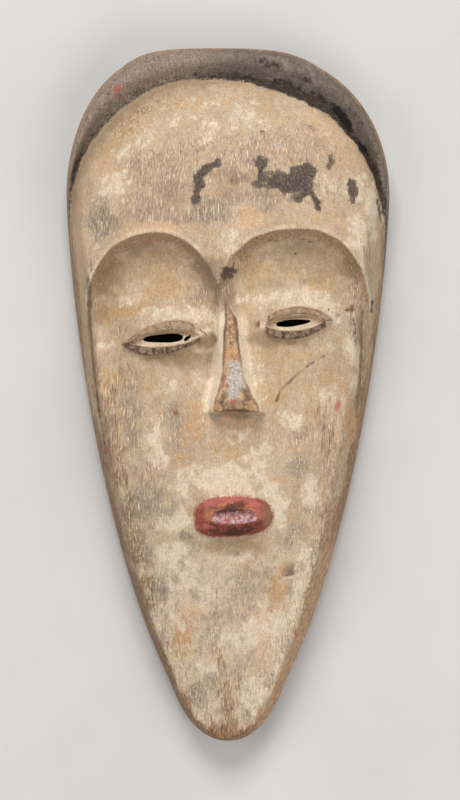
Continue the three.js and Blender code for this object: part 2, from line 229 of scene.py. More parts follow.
class MaskCarving(bpy.types.PropertyGroup):
    """How finely the mask is modelled, and how rough its tools were."""

    columns: bpy.props.IntProperty(
        name="Columns", description="Grid squares across the face", default=150, min=40, max=200
    )
    rows: bpy.props.IntProperty(
        name="Rows", description="Grid squares from chin to crown", default=270, min=80, max=320
    )
    facets: bpy.props.FloatProperty(
        name="Blade facets", description="Depth of the shallow facets that the blade left",
        default=0.14 * MM, min=0, max=MM, unit="LENGTH", precision=5,
    )
    gouges: bpy.props.FloatProperty(
        name="Gouge marks", description="Depth of the gouge cuts in the hollow back",
        default=0.55 * MM, min=0, max=2 * MM, unit="LENGTH", precision=5,
    )


class MaskPaint(bpy.types.PropertyGroup):
    """Colours of the paint and the wood."""

    clay: bpy.props.FloatVectorProperty(
        name="Clay", description="Pale clay paint of the face", subtype="COLOR",
        default=linear(206, 182, 152), min=0, max=1,
    )
    tan: bpy.props.FloatVectorProperty(
        name="Tan", description="Where the clay is stained or thin", subtype="COLOR",
        default=linear(186, 158, 126), min=0, max=1,
    )
    wood: bpy.props.FloatVectorProperty(
        name="Wood", description="Bare wood on worn edges", subtype="COLOR",
        default=linear(160, 120, 84), min=0, max=1,
    )
    crest: bpy.props.FloatVectorProperty(
        name="Crest", description="Grey paint of the crest band", subtype="COLOR",
        default=linear(117, 105, 93), min=0, max=1,
    )
    lips: bpy.props.FloatVectorProperty(
        name="Lips", description="Red paint of the lips", subtype="COLOR",
        default=linear(158, 74, 64), min=0, max=1,
    )


class MaskStage(bpy.types.PropertyGroup):
    """Camera, floor and light."""

    distance: bpy.props.FloatProperty(
        name="Distance", description="Height of the camera above the floor",
        default=1, min=0.4, max=3, unit="LENGTH",
    )
    view_height: bpy.props.FloatProperty(
        name="View height", description="Length of floor that the picture shows from top to bottom",
        default=0.2335, min=0.1, max=1, unit="LENGTH", precision=4,
    )
    light: bpy.props.FloatProperty(
        name="Light", description="Power of the main lamp", default=10, min=0, max=100, unit="POWER"
    )


# Helpers for shapes


def smooth(start, end, t):
    """0 before start, 1 after end, and a smooth step between them."""
    s = np.clip((t - start) / (end - start), 0, 1)
    return s * s * (3 - 2 * s)


def graded(pair, share):
    """From the first to the second of a pair as the share goes from 0 to 1."""
    return pair[0] + (pair[1] - pair[0]) * share


def soft_min(a, b, blend):
    h = np.clip(0.5 + (b - a) / (2 * blend), 0, 1)
    return b + (a - b) * h - blend * h * (1 - h)


def bump(u, v):
    return np.exp(-(u**2) - v**2)


def cloud(x, y, width, height, seed):
    """Smooth noise from -1 to 1, with lumps about width by height."""
    table = np.random.default_rng(seed).uniform(-1, 1, (NOISE_CELLS, NOISE_CELLS))
    u, v = x / width, y / height
    column, row = np.floor(u).astype(int), np.floor(v).astype(int)
    a, b = smooth(0, 1, u - column), smooth(0, 1, v - row)

    def corner(right, up):
        return table[(column + right) % NOISE_CELLS, (row + up) % NOISE_CELLS]

    low = corner(0, 0) * (1 - a) + corner(1, 0) * a
    high = corner(0, 1) * (1 - a) + corner(1, 1) * a
    return low * (1 - b) + high * b


def waver(name, x, y):
    """The unevenness of that name, from its layers of noise."""
    return sum(depth * cloud(x, y, width, height, seed) for depth, width, height, seed in WAVERS[name])


def scallops(x, y, cuts):
    """Squared distance to the middle of the nearest cut, about 0 on average."""
    place = np.random.default_rng(cuts["seed"]).uniform(*CUT_PLACE, (2, NOISE_CELLS, NOISE_CELLS))
    u, v = x / cuts["width"], y / cuts["height"]
    column, row = np.floor(u).astype(int), np.floor(v).astype(int)
    nearest = np.full(np.shape(u), np.inf)
    for right in (-1, 0, 1):
        for up in (-1, 0, 1):
            i, j = column + right, row + up
            du = u - i - place[0, i % NOISE_CELLS, j % NOISE_CELLS]
            dv = v - j - place[1, i % NOISE_CELLS, j % NOISE_CELLS]
            nearest = np.minimum(nearest, du * du + dv * dv)
    return nearest - cuts["middle"]


def to_tilted(centre, x, y):
    """Measures from a tilted centre to places on the face."""
    turn = math.radians(centre["tilt"])
    u = (x - centre["x"]) * math.cos(turn) + (y - centre["y"]) * math.sin(turn)
    v = (y - centre["y"]) * math.cos(turn) - (x - centre["x"]) * math.sin(turn)
    return u, v


def from_tilted(centre, u, v):
    turn = math.radians(centre["tilt"])
    x = centre["x"] + u * math.cos(turn) - v * math.sin(turn)
    y = centre["y"] + u * math.sin(turn) + v * math.cos(turn)
    return x, y


def stroke_distance(x, y, start, end):
    """Distance to a straight stroke."""
    dx, dy = end[0] - start[0], end[1] - start[1]
    share = np.clip(((x - start[0]) * dx + (y - start[1]) * dy) / (dx * dx + dy * dy), 0, 1)
    return np.hypot(x - start[0] - share * dx, y - start[1] - share * dy)


# Form of the head


def end_curve(shape, t):
    fall = shape["fall"] - shape["fuller"] * smooth(shape["fuller_from"], 1, t)
    return (1 - t ** shape["power"]) ** fall


def half_width(y):
    up = np.clip((y - WIDEST_Y) / (HALF_LENGTH - WIDEST_Y), 0, 1)
    down = np.clip((WIDEST_Y - y) / (HALF_LENGTH + WIDEST_Y), 0, 1)
    return HALF_WIDTH * end_curve(CROWN_CURVE, up) * end_curve(CHIN_CURVE, down)


def middle(y):
    up = np.maximum(y - CROWN_LEAN["from"], 0) / (HALF_LENGTH - CROWN_LEAN["from"])
    return CROWN_LEAN["shift"] * up**3


def on_face(u, v):
    """A point of the square grid, each way from -1 to 1, as x and y inside the outline."""
    across, up = u * np.sqrt(1 - v * v / 2), v * np.sqrt(1 - u * u / 2)
    y = HALF_LENGTH * up
    share = np.clip(across / np.sqrt(np.maximum(1 - up * up, TINY)), -1, 1)
    return middle(y) + half_width(y) * share, y


def reach_of(x, y):
    """0 in the middle of the face and 1 on the outline."""
    v = y / HALF_LENGTH
    across = (x - middle(y)) / np.maximum(half_width(y), TINY)
    return np.sqrt(np.clip(v * v + across * across * (1 - v * v), 0, 1))


def angle_of(x, y):
    """Direction from the middle of the face, in degrees, with the crown at 90."""
    v = np.clip(y / HALF_LENGTH, -1, 1)
    across = (x - middle(y)) / np.maximum(half_width(y), TINY)
    return np.degrees(np.arctan2(v, across * np.sqrt(1 - v * v)))


def inset(x, y):
    """Distance in from the outline, whose lean is its change of width over a millimetre."""
    lean = half_width(y + 0.5) - half_width(y - 0.5)
    return np.maximum(half_width(y) - np.abs(x - middle(y)), 0) / np.sqrt(1 + lean * lean)


def cheek_line(y):
    return CHIN_HEIGHT + CHEEKS["rise"] * smooth(CHEEKS["from"], CHEEKS["to"], y)


def groove_reach(x, y):
    spread = np.where(x < middle(y), GROOVE["left_spread"], GROOVE["right_spread"])
    return np.minimum(GROOVE["reach"] + spread * (GROOVE["y"] - y), GROOVE["most"])


def crown_height(x, y, reach):
    groove = groove_reach(x, y)
    rise = smooth(GROOVE_FLOOR["from"], GROOVE_FLOOR["to"], y)
    floor = GROOVE_FLOOR["height"] + GROOVE_FLOOR["rise"] * rise
    dome = (1 - np.minimum(reach / groove, 1) ** DOME["power"]) ** DOME["fall"]
    inner = floor + (DOME["height"] - floor) * dome
    across = np.clip((reach - groove) / (1 - groove), 0, 1)
    band = floor - BAND["drop"] + BAND["rise"] * smooth(0, BAND["rise_end"], across)
    band = band - BAND["edge_drop"] * smooth(BAND["edge_from"], 1, across)
    return np.where(reach < groove, inner, band)


def head(x, y):
    reach = reach_of(x, y)
    slope = np.where(x < 0, SIDE_PLANES["left_slope"], SIDE_PLANES["right_slope"])
    side = EDGE["chin"] + EDGE["rise"] * smooth(EDGE["from"], EDGE["to"], y) + slope * inset(x, y)
    line = cheek_line(y) + FOREHEAD["rise"] * smooth(FOREHEAD["from"], FOREHEAD["to"], y)
    u, v = (x - MOUTH["x"]) / MOUTH_SWELL["width"], (y - MOUTH["y"]) / MOUTH_SWELL["height"]
    front = line * (1 - SIDE_DROP["share"] * reach ** SIDE_DROP["power"])
    lower = soft_min(front + MOUTH_SWELL["rise"] * bump(u, v), side, SIDE_PLANES["blend"])
    edge_rise = CROWN_BLEND["edge_rise"] * smooth(CROWN_BLEND["edge_from"], CROWN_BLEND["edge_to"], y)
    crown = soft_min(crown_height(x, y, reach), side + edge_rise, CROWN_BLEND["edge_blend"])
    share = smooth(CROWN_BLEND["from"], CROWN_BLEND["to"], y)
    return lower * (1 - share) + crown * share


# Face below the brows


def draw_in(y):
    """How far the face's sides are drawn in towards the chin, as a share."""
    narrow = np.maximum(half_width(np.minimum(y, DRAW_IN["y"])), DRAW_IN["least"])
    return narrow / half_width(np.float64(DRAW_IN["y"]))


def brow_distance(brow, x, y):
    """About the distance inside a brow arch, negative outside it."""
    up = np.maximum(y - brow["y"], 0) / brow["height"]
    across = x / draw_in(y) - brow["x"]
    width = np.where(across < 0, brow["left"]["width"], brow["right"]["width"])
    power = np.where(across < 0, brow["left"]["power"], brow["right"]["power"])
    return (1 - (up**power + np.abs(across / width) ** power) ** (1 / power)) * BROW_REACH


def inside_brows(x, y):
    left, right = (brow_distance(brow, x, y) for brow in BROWS)
    return np.maximum(left, right) + waver("brows", x, y)


def sunk(x, y):
    d = inside_brows(x, y)
    depth = np.clip(FACE["slope"] * (y - FACE["end_y"]), 0, FACE["depth"])
    wall = 1 - np.exp(-np.maximum(d, 0) / FACE["wall"])
    under = np.exp(-(((d - SCOOP["at"]) / SCOOP["width"]) ** 2)) * smooth(0, SCOOP["from_wall"], d)
    return depth * wall + SCOOP["depth"] * smooth(SCOOP["from"], SCOOP["to"], y) * under


def eye_mounds(x, y):
    rise = 0
    for eye in EYES:
        u, v = to_tilted(eye, x, y)
        rise = rise + EYE_MOUND["rise"] * bump((u / eye["width"]) ** 2, v / EYE_MOUND["height"])
    return rise


def lens_edge(lid, u):
    """Height of a lid's outer edge at u, which is -1 and 1 at the corners."""
    u = np.clip(u, -1, 1)
    inside = np.clip(np.abs(u - lid["skew"] * (1 - u * u)), 0, 1)
    return lid["height"] * (1 - inside ** LENS["power"]) ** LENS["fall"]


def recess_distance(recess, x, y, wobble):
    """Distance out from the recess between the lids, negative inside it."""
    s, t = to_tilted(recess, x, y)
    s = np.abs(s) / recess["width"]
    lens = (1 - np.clip(s, 0, 1) ** RECESS_LENS["power"]) ** RECESS_LENS["fall"]
    out = np.where(s < 1, np.abs(t) - recess["height"] * lens, LID_EDGES["past_recess"])
    return out + LID_EDGES["recess_waver"] * wobble


def lid_shares(eye, x, y):
    """How far a point is on the upper lid, the lower lid and the recess between them, from 0 to 1 each."""
    u, v = to_tilted(eye, x, y)
    u = u / eye["width"]
    wobble = waver("lid edges", x, y)
    beyond = recess_distance(eye["recess"], x, y, wobble)
    ring = smooth(*LID_EDGES["ring"], beyond)
    end = LID_EDGES["end"]
    lids = []
    for lid, out in ((eye["up"], v), (eye["down"], -v)):
        on_lid = smooth(*LID_EDGES["outer"], out - lens_edge(lid, u) + wobble)
        on_lid = on_lid * smooth(*LID_EDGES["middle"], out) * ring * smooth(*LID_EDGES["corner"], np.abs(u))
        on_lid = on_lid * smooth(lid["from"] - end, lid["from"] + end, u)
        lids.append(on_lid * smooth(lid["to"] + end, lid["to"] - end, u))
    return lids[0], lids[1], smooth(*LID_EDGES["recess"], beyond)


def with_eyes(z, x, y):
    for eye in EYES:
        upper, lower, recess = lid_shares(eye, x, y)
        u, v = to_tilted(eye, x, y)
        rise = LID_RISE + waver("lid tops", x, y)
        cut = 0
        for notch in eye["notches"]:
            away = (u - notch * eye["width"] - NOTCH["lean"] * v) / NOTCH["width"]
            cut = cut + NOTCH["depth"] * np.exp(-(away**2))
        z = z + rise * upper + np.maximum(rise - cut, 0) * lower - RECESS_DEPTH * recess
    for cut_x, cut_y in EYE_CUTS:
        up = y - cut_y
        across = x - cut_x - EYE_CUT["lean"] * up
        z = z - EYE_CUT["depth"] * bump(across / EYE_CUT["width"], up / EYE_CUT["height"])
    away = stroke_distance(x, y, CORNER_LINE["start"], CORNER_LINE["end"])
    return z - CORNER_LINE["depth"] * np.exp(-((away / CORNER_LINE["width"]) ** 2))


def nose_frame(y):
    """The nose's middle line, the half widths of its front plane and of its foot, and its height."""
    t = np.clip((NOSE["root_y"] - y) / (NOSE["root_y"] - NOSE["tip_y"]), 0, 1)
    lean = NOSE_LINE["lean"] * np.maximum(1 - t / NOSE_LINE["lean_to"], 0) ** NOSE_LINE["lean_power"]
    centre = NOSE_LINE["x"] + NOSE_LINE["drift"] * t + NOSE_LINE["hook"] * t**4 - lean
    plane = NOSE_PLANE["root"] + NOSE_PLANE["widen"] * t ** NOSE_PLANE["power"]
    plane = plane + NOSE_PLANE["flare"] * smooth(NOSE_PLANE["flare_from"], 1, t)
    foot = plane + NOSE_SIDE["width"] - NOSE_SIDE["narrow"] * smooth(NOSE_SIDE["narrow_from"], 1, t)
    upper = smooth(NOSE_ROOT["to"], NOSE_ROOT["from"], t)
    plane = np.maximum(plane - NOSE_ROOT["pinch"] * upper, NOSE_ROOT["least"])
    ridge = NOSE["root_height"] + NOSE["rise"] * t - NOSE_ROOT["sink"] * upper
    return centre, plane, foot, ridge


def nose_base(x):
    """The nose's lower edge bows up a little in the middle."""
    centre, plane, _, _ = nose_frame(np.float64(NOSE["tip_y"]))
    return NOSE["tip_y"] + NOSE["bow"] * (1 - ((x - centre) / plane) ** 2)


def with_nose(z, x, y):
    centre, plane, foot, ridge = nose_frame(y)
    away = np.abs(x - centre) + waver("nose", x, y)
    fall = np.clip((away - plane) / (foot - plane), 0, 1)
    worn = NOSE_WEAR["depth"] * np.exp(-(((away - plane) / NOSE_WEAR["width"]) ** 2))
    nose = ridge - worn + (z - NOSE_SIDE["sink"] - ridge) * (1 - (1 - fall) ** NOSE_SIDE["hollow"])
    nose = nose - NOSE_SIDE["beyond"] * np.maximum(away - foot, 0)
    base = nose_base(x)
    under = smooth(base, base - NOSE_END["under_run"], y)
    buried = z - NOSE_END["buried"]
    nose = nose + (buried - nose) * under
    nose = np.where(y > NOSE["root_y"], buried, nose)
    return -soft_min(-z, -nose, NOSE_SIDE["blend"])


def mouth_shares(x, y):
    """How far out a point is, 1 at the lips' outer edge, the same for the opening, and how far up."""
    u, v = to_tilted(MOUTH, x, y)
    u, v = u / MOUTH["width"], v / MOUTH["height"]
    power = np.where(u < 0, MOUTH["left_power"], MOUTH["right_power"])
    out = (np.abs(u) ** power + np.abs(v) ** power) ** (1 / power)
    across, up = np.abs(u / MOUTH_HOLE["width"]), np.abs(v / MOUTH_HOLE["height"])
    hole = (across ** MOUTH_HOLE["power"] + up ** MOUTH_HOLE["power"]) ** (1 / MOUTH_HOLE["power"])
    return out + waver("lips", x, y), hole + waver("mouth", x, y), v


def with_mouth(z, x, y):
    out, hole, v = mouth_shares(x, y)
    lips = LIPS["rise"] * (1 - np.clip(out, 0, 1) ** LIPS["power"]) ** LIPS["fall"]
    depth = MOUTH_HOLE["depth"] + MOUTH_HOLE["top_depth"] * v / MOUTH_HOLE["height"]
    return z + lips - smooth(*MOUTH_HOLE["edge"], hole) * depth


def scratch_distance(x, y):
    """Distance to the bent line of the scratch, a little uneven."""
    pieces = zip(SCRATCH_LINE, SCRATCH_LINE[1:])
    away = [stroke_distance(x, y, start, end) for start, end in pieces]
    return np.minimum.reduce(away) + waver("scratch", x, y)


def chip_shares(x, y):
    """How far a point is inside the chip, from 0 to 1, and how far across it from its upper left corner."""
    u, v = (x - CHIP["x"]) / CHIP["width"], (y - CHIP["y"]) / CHIP["height"]
    corner = CHIP_CORNER["cut"] + CHIP_CORNER["up"] * v - CHIP_CORNER["across"] * u
    out = np.maximum.reduce([np.abs(u), np.abs(v), corner]) + waver("chip", x, y)
    return smooth(*CHIP_EDGE, out), smooth(-1, 1, CHIP_CORNER["across"] * (u - v))


def damage(x, y):
    groove = np.exp(-((scratch_distance(x, y) / SCRATCH["width"]) ** 2))
    cut = graded(SCRATCH["depth"], smooth(*SCRATCH["fade"], x)) * groove
    chip, across = chip_shares(x, y)
    return cut + chip * graded(CHIP["depth"], across)


def front(x, y, facets):
    """Height of the carved front, with blade facets of that depth."""
    z = head(x, y) - sunk(x, y) + eye_mounds(x, y)
    z = with_nose(z, x, y)
    z = with_mouth(z, x, y)
    z = with_eyes(z, x, y)
    calm = 1 - BLADE_CUTS["calm"] * smooth(0, BLADE_CUTS["calm_by"], inside_brows(x, y))
    hewn = facets * calm * (scallops(x, y, BLADE_CUTS) + waver("blade", x, y))
    rounded = WORN_EDGE["depth"] * np.exp(-inset(x, y) / WORN_EDGE["width"])
    return z - damage(x, y) + hewn - rounded


def hollow_point(u, v, gouges):
    """A point of the hollow's square grid as its place in the back of the mask."""
    x, y = on_face(u, v)
    ring = reach_of(x, y)
    x = x * (1 - RIM["side"] / HALF_WIDTH)
    y = y * (1 - np.where(y > 0, RIM["crown"], RIM["chin"]) / HALF_LENGTH)
    rise = HOLLOW["forehead_rise"] * smooth(HOLLOW["from"], HOLLOW["to"], y)
    roof = cheek_line(y) + rise - HOLLOW["wall"]
    depth = roof * (1 - np.minimum(ring, 1) ** HOLLOW["power"]) ** HOLLOW["fall"]
    cuts = gouges * scallops(x, y, GOUGE_CUTS) * smooth(*GOUGE_CUTS["rim"], ring)
    return x, y, np.maximum(depth - cuts, 0)


def in_detail(x, y):
    """Whether a point is where the carving or the paint takes a finer mesh."""
    at_wall = np.abs(inside_brows(x, y) - FINE_BROWS["at"]) < FINE_BROWS["within"]
    fine = at_wall & (y > FINE_BROWS["above"])
    for eye in EYES:
        u, v = to_tilted(eye, x, y)
        fine = fine | ((np.abs(u) < eye["width"] + FINE_EYES["side"]) & (np.abs(v) < FINE_EYES["height"]))
    centre, _, foot, _ = nose_frame(y)
    on_nose = (y < NOSE["root_y"] + FINE_NOSE["above"]) & (y > NOSE["tip_y"] - FINE_NOSE["below"])
    fine = fine | (on_nose & (np.abs(x - centre) < foot + FINE_NOSE["side"]))
    out, _, _ = mouth_shares(x, y)
    fine = fine | (out < FINE_MOUTH) | (scratch_distance(x, y) < FINE_SCRATCH)
    for box_x, box_y, wide, high in FINE_BOXES:
        fine = fine | ((np.abs(x - box_x) < wide) & (np.abs(y - box_y) < high))
    return fine


# Paint. Each patch is x, y, half width, half height, tilt in degrees and strength.
PATCHES = {
    # The peach patch at (3, -9.6) under the nose is painted light that offsets the nose's cast shadow. The
    # others are peach stain.
    "peach": (
        (-18.4, 47.6, 10, 2, 4, 0.8), (-27, 45.4, 5, 2, 30, 0.5), (5, 49, 4.6, 3.4, 20, 0.7),
        (-33, -2.5, 3, 3, 0, 0.9), (-42.5, 45, 2.4, 14, 0, 0.6), (3, -9.6, 7, 3.2, 0, 1),
        (6.4, -31.4, 6, 2, 0, 0.3), (-34, 64, 6, 6, 40, 0.6), (27, 75, 9, 4, -38, 0.7),
        (10.4, -68, 4.4, 6, -14, 0.8), (-10.4, -66, 4, 7, 10, 0.7), (-14, -42.5, 3, 2.4, 0, 0.4),
        (36, 66, 3.5, 6, -20, 0.4), (6.6, 80.3, 1.7, 0.6, 0, 1), (28, 50, 6, 3, -20, 0.4),
    ),
    "ochre": (
        (28.5, -42, 2, 11, -10, 0.7), (22.8, -60, 2.2, 9, -18, 0.8), (5, 61.2, 5, 1.6, -8, 0.5),
        (-31, 23.7, 7, 2.6, 20, 0.8), (-34, 4.7, 4.5, 3, 0, 0.7), (-10.5, -7, 4.2, 9, 0, 0.6),
        (0.5, -14.4, 6, 3.6, 0, 0.4), (10.9, 0.4, 5, 4.8, 0, 0.55), (36, -7.8, 2.6, 7, -4, 0.95),
        (13.2, -56.4, 4.4, 6, -10, 1), (15.8, -50, 1.4, 4, -25, 0.7), (-12.5, -66.8, 4.6, 5, 0, 0.8),
        (-12, -73.4, 4, 1.6, 12, 0.6), (0.5, 58.2, 3.6, 3, 0, 0.5), (5.8, 37.5, 5, 3.4, 0, 0.6),
        (17, 10.5, 9, 3, 6, 0.4), (8.6, -42.8, 4, 3.4, 0, 0.45), (1, -42, 6, 3, 0, 0.4),
        (-25.1, -54.6, 1.8, 7.5, -14, 0.7), (4, -49, 2.4, 3.4, 0, 0.4), (-20, 36, 8, 5, 10, 0.4),
        (30, 4, 5, 5, 0, 0.4), (9, -80, 4, 3, 0, 0.4), (24, -6, 3, 4, 0, 0.5), (9, 33, 4, 5, 0, 0.4),
        (-26, 79, 9, 3, 33, 0.5), (-33, 71, 5, 2.4, 52, 0.5), (-12, 84, 8, 2.4, 12, 0.4),
        (-21, 31, 9, 4, 12, 0.45), (-27, 35, 5, 6, 0, 0.4), (19, 35, 10, 4, -6, 0.4),
        (27, 31, 4, 4, 0, 0.4), (-24, 4, 6, 4, 0, 0.4), (16, 3, 6, 4, 20, 0.35),
        (-3, -74, 3, 4, 0, 0.3), (14, -60, 3, 5, 0, 0.35),
    ),
    "mauve": (
        (-20.3, 64.5, 9, 8, 20, 0.8), (-24.3, 54.8, 7, 3.6, 0, 0.7), (-35, 53.5, 5, 4, 0, 0.8),
        (-19.5, 52, 8, 2.6, 0, 0.9), (8.5, 71.5, 4.5, 3, 0, 0.8), (-22.5, -22.8, 3.8, 4.4, 0, 0.7),
        (22.2, -10.5, 4.4, 4.8, -30, 0.8), (28.1, -20.5, 2.6, 8, 3, 0.6),
        (5.1, -53.9, 4.6, 5.2, 0, 0.45), (1.3, -61.2, 6, 3.4, 0, 0.5), (-4, -72.8, 2.6, 8.5, 18, 0.7),
        (16.7, -73.7, 1.7, 5.6, -22, 0.8), (20, 70, 9, 6, 0, 0.55), (-8.6, 28.9, 3.4, 3, 0, 0.7),
        (16, 55.9, 3.4, 2, 0, 0.7), (6, 66, 10, 6, 0, 0.6), (26, 62, 4, 6, 0, 0.4),
        (28.5, -35.6, 2.2, 7, 4, 0.5), (-6, 62, 7, 7, 0, 0.5), (23, -33, 1.2, 1.6, 0, 0.6),
        (2.8, -82, 2.6, 3, 0, 0.5), (-38, 34, 2, 10, 0, 0.5), (39.5, 41, 1.8, 7, 6, 0.5),
        (31, 58, 3, 5, 0, 0.4), (-8.5, 70.8, 6, 3, 0, 0.8),
    ),
    # Some pale patches are painted light: a glint above the left brow at (-29, 40.5), a highlight down the
    # right brow's outer edge at (37.2, 38), paler paint under the nose at (2.4, -11.4) that offsets its
    # cast shadow, and paler paint at (36.6, 48.5) and (41, 53) where the forehead's right side turns from
    # the lamps. The rest are pale clay.
    "pale": (
        (6.2, 78.6, 5.4, 4, 0, 0.6), (-4.5, 75.5, 5, 3.6, 0, 0.5), (-30, 70, 5, 2.4, 30, 0.5),
        (-13, 80, 10, 4, 14, 0.4), (-32, 58.2, 5, 2.2, 15, 0.7), (28.2, 60, 2.6, 3.6, 0, 0.55),
        (-29, 40.5, 1.8, 0.8, 10, 0.7), (-28, 27.4, 3.4, 1.6, 20, 0.6), (-34.8, 14, 3, 2, 0, 0.8),
        (-12, 22.8, 12, 3, 3, 0.66), (19.5, 27, 14, 3.4, -2, 0.8), (27.6, 22.6, 4.6, 2.6, -30, 0.7),
        (36, 13, 2, 6, 0, 0.9), (35.6, 4, 1.6, 4, 0, 0.7), (28.5, 14, 1.9, 2, 0, 0.7),
        (-21.2, -12.9, 2.6, 5, 5, 0.8), (-16.7, 3.5, 2, 2.5, 0, 0.6), (0, -23.4, 10, 5, 0, 0.9),
        (12.4, -31, 2.4, 4, 0, 0.8), (2.4, -11.4, 6.4, 2.4, 0, 0.55), (-12.4, -22, 3.2, 2.8, 0, 0.8),
        (-19.6, -18.4, 2.6, 3.4, 0, 0.7), (-16, -35.8, 5.6, 3.4, 20, 0.85),
        (-15, -45.4, 5.8, 4.4, 0, 0.85), (18.2, -6.7, 3.2, 3, 0, 0.8), (27.7, -0.9, 2.6, 3.6, 0, 0.6),
        (22.9, -27.3, 3, 4.2, 0, 0.9), (14.6, -33.4, 1.5, 4, 0, 0.7), (22.6, -46, 2.6, 4, 10, 0.8),
        (-15.2, -52, 6, 4.4, 0, 0.6), (7.3, -68.2, 7, 4, 10, 0.7), (-8, 4, 2.2, 7, -6, 0.5),
        (9.4, 6, 2, 8, 6, 0.5), (-33, 61, 5, 2, 20, 0.6), (-24, 73, 7, 2.4, 28, 0.5),
        (2, -46, 4, 3, 0, 0.5), (-2, -68, 3, 4, 0, 0.5), (14, -78, 2.4, 5, -20, 0.6),
        (-14, -62, 3, 4, 0, 0.5), (7.3, -86.4, 4.4, 7, 14, 0.7), (-5.7, -78.4, 4, 2.8, 0, 0.7),
        (-6, -56, 7, 5, 0, 0.5), (12, -61, 5, 4, 0, 0.6), (20.5, -56, 1.5, 6, -12, 0.8),
        (24, 78, 8, 3, -30, 0.3), (1.9, 44, 4, 3, 0, 0.5), (-37, 45, 2, 4, 0, 0.3),
        (9.5, -19, 4, 5, 0, 0.6), (37.2, 38, 1.5, 7, 20, 1), (36.6, 48.5, 3, 6.4, 4, 0.8),
        (36, 60, 3.4, 5, -16, 0.6), (13, -29.6, 4, 3, 0, 0.8), (14.4, -66, 2.6, 6, -18, 0.8),
        (20, -57, 2, 7, -14, 0.8), (-6.5, 17.8, 1.6, 1.2, 20, 0.8), (41, 53, 2.4, 9, 0, 0.9),
        (-13.5, -25.4, 4, 3, 0, 0.75), (10.8, -27, 4.6, 3.6, 0, 0.75), (10.2, 19.9, 1, 1.4, 0, 0.9),
    ),
    "grey": (
        (-36.5, 49, 4, 5, 0, 1), (-4.5, 51.8, 7.5, 4.2, -8, 0.9), (2.3, 78.6, 3, 2.4, 0, 0.4),
        (10.9, 53, 3.6, 1.7, 10, 0.7), (-27, -8, 3.4, 11, 0, 0.8), (-32.3, -7, 2.3, 2.6, 0, 0.6),
        (-15.3, -5.5, 2.6, 4.4, 0, 0.8), (-15.3, -12.4, 2, 3.4, 0, 0.6), (-6.8, -10.3, 0.8, 5, 0, 0.6),
        (-24, -31.5, 7.6, 5.6, 8, 0.85), (-12, -39.9, 3.9, 2.4, 0, 0.9),
        (-24.5, -43.2, 3.1, 6.5, -8, 1), (20.6, -19.5, 4, 5, 0, 0.7), (20.9, -38, 4, 4.2, 0, 0.7),
        (16.7, -42, 2.6, 1.8, 0, 0.8), (-15.6, -52, 2, 1.9, 0, 0.6), (-10, -57, 1.5, 2.4, 0, 0.7),
        (-20.5, -56.5, 3.4, 6, -12, 1), (-20.1, -69.8, 2.6, 7.5, -20, 0.8),
        (-8.6, -85.6, 2.4, 4.6, -24, 0.95), (-5.4, -91, 2, 2.6, 0, 0.5),
        (6.2, -92.4, 1.9, 1.8, -30, 0.9), (-4.6, -82, 2, 4, 10, 0.7), (9, -51.5, 3, 2.4, 0, 0.6),
        (36, 20, 1.6, 7, 4, 0.7), (-38.4, 20, 1.4, 12, 5, 0.5), (30, -45, 2, 6, 10, 0.7),
        (-4.5, -66, 3, 4, 20, 0.5), (4.4, -55, 4, 5, 0, 0.55), (8, 55.8, 6, 2.6, 0, 0.7),
        (2.8, -80, 3, 4, 0, 0.6), (0, -62, 4, 3, 0, 0.4), (-7.6, -89.6, 2.6, 3, -30, 0.7),
        (28, -8, 2, 8, 0, 0.4), (4.5, -76, 3, 2.4, 0, 0.5), (-10.4, 41, 3, 2, 0, 0.3),
        (40.5, 36, 1.4, 9, 6, 0.5),
    ),
    # Most olive patches are painted shade: under both eyes and beside their inner corners, beside and under
    # the nose, under the lips, just under the brow arches and at the nose's root. Those at the brow arches'
    # outer ends and across the right brow are olive stain.
    "olive": (
        (-14, 11.2, 9.5, 2.2, 3, 0.7), (-5.4, 11, 2.2, 3.4, 0, 0.7), (-9, 8.8, 4, 3, 10, 0.45),
        (14, 31.5, 9, 3.4, 0, 0.35), (-6.6, 14.8, 3.8, 2, 16, 1), (-4.6, 15.8, 2, 2, 0, 1),
        (12.7, 16, 7.8, 1.9, -6, 0.7), (2, -5.4, 6, 0.9, 0, 0.6), (-34.4, 33.6, 4, 7, -16, 1),
        (-36, 24, 2, 5, -6, 0.6), (35, 36.5, 3.4, 4.4, 20, 0.9), (1, -42.6, 9, 2.6, 0, 0.6),
        (22, 42.4, 10, 2, -10, 0.45), (-26, 42, 7, 1.8, 18, 0.7), (-6.4, 36.6, 2.6, 3, -30, 0.4),
        (-37.5, 22, 1.4, 6, 0, 0.5),
    ),
    # Dusk patches are darker paint: those at the nose's root between the brows are painted shade, the
    # others darker tone.
    "dusk": (
        (-3.8, 33.6, 5.6, 4.4, 42, 0.75), (-1.6, 29, 3, 5, 0, 0.95), (4.6, 60.8, 6.5, 2, -8, 0.95),
        (11, 56.6, 5, 2.6, 0, 0.5), (2, 56.4, 6, 3, 0, 0.55), (-14.4, 57, 4, 3.4, 0, 0.6),
        (15.5, 60, 10, 3.6, -10, 0.75), (-23, 51.4, 9, 2.6, 0, 0.4), (-8.5, 28.5, 3.6, 3, 0, 0.45),
        (34.5, 33, 2.4, 6, 20, 0.5), (-34.5, 28, 2.4, 6, -10, 0.4),
    ),
    "brown": (
        (-32.5, -14, 4.2, 12, 4, 0.8), (-28.5, -38, 3.6, 12, 8, 0.7), (-23, -57, 3, 9, 14, 0.65),
        (27.5, -40, 2.8, 12, -8, 0.7), (22.8, -60, 2, 10, -18, 0.7), (-1.2, 30, 2.2, 5, -10, 0.4),
        (36.4, 29, 2, 8, 12, 0.7), (-8.5, 37.6, 4, 2, 35, 0.3), (-38, 8, 1.4, 12, 4, 0.5),
        (38.6, 9, 1.3, 13, 2, 0.8), (4, 40, 3, 4, -40, 0.5), (37.4, -12, 1.3, 8, -4, 0.5),
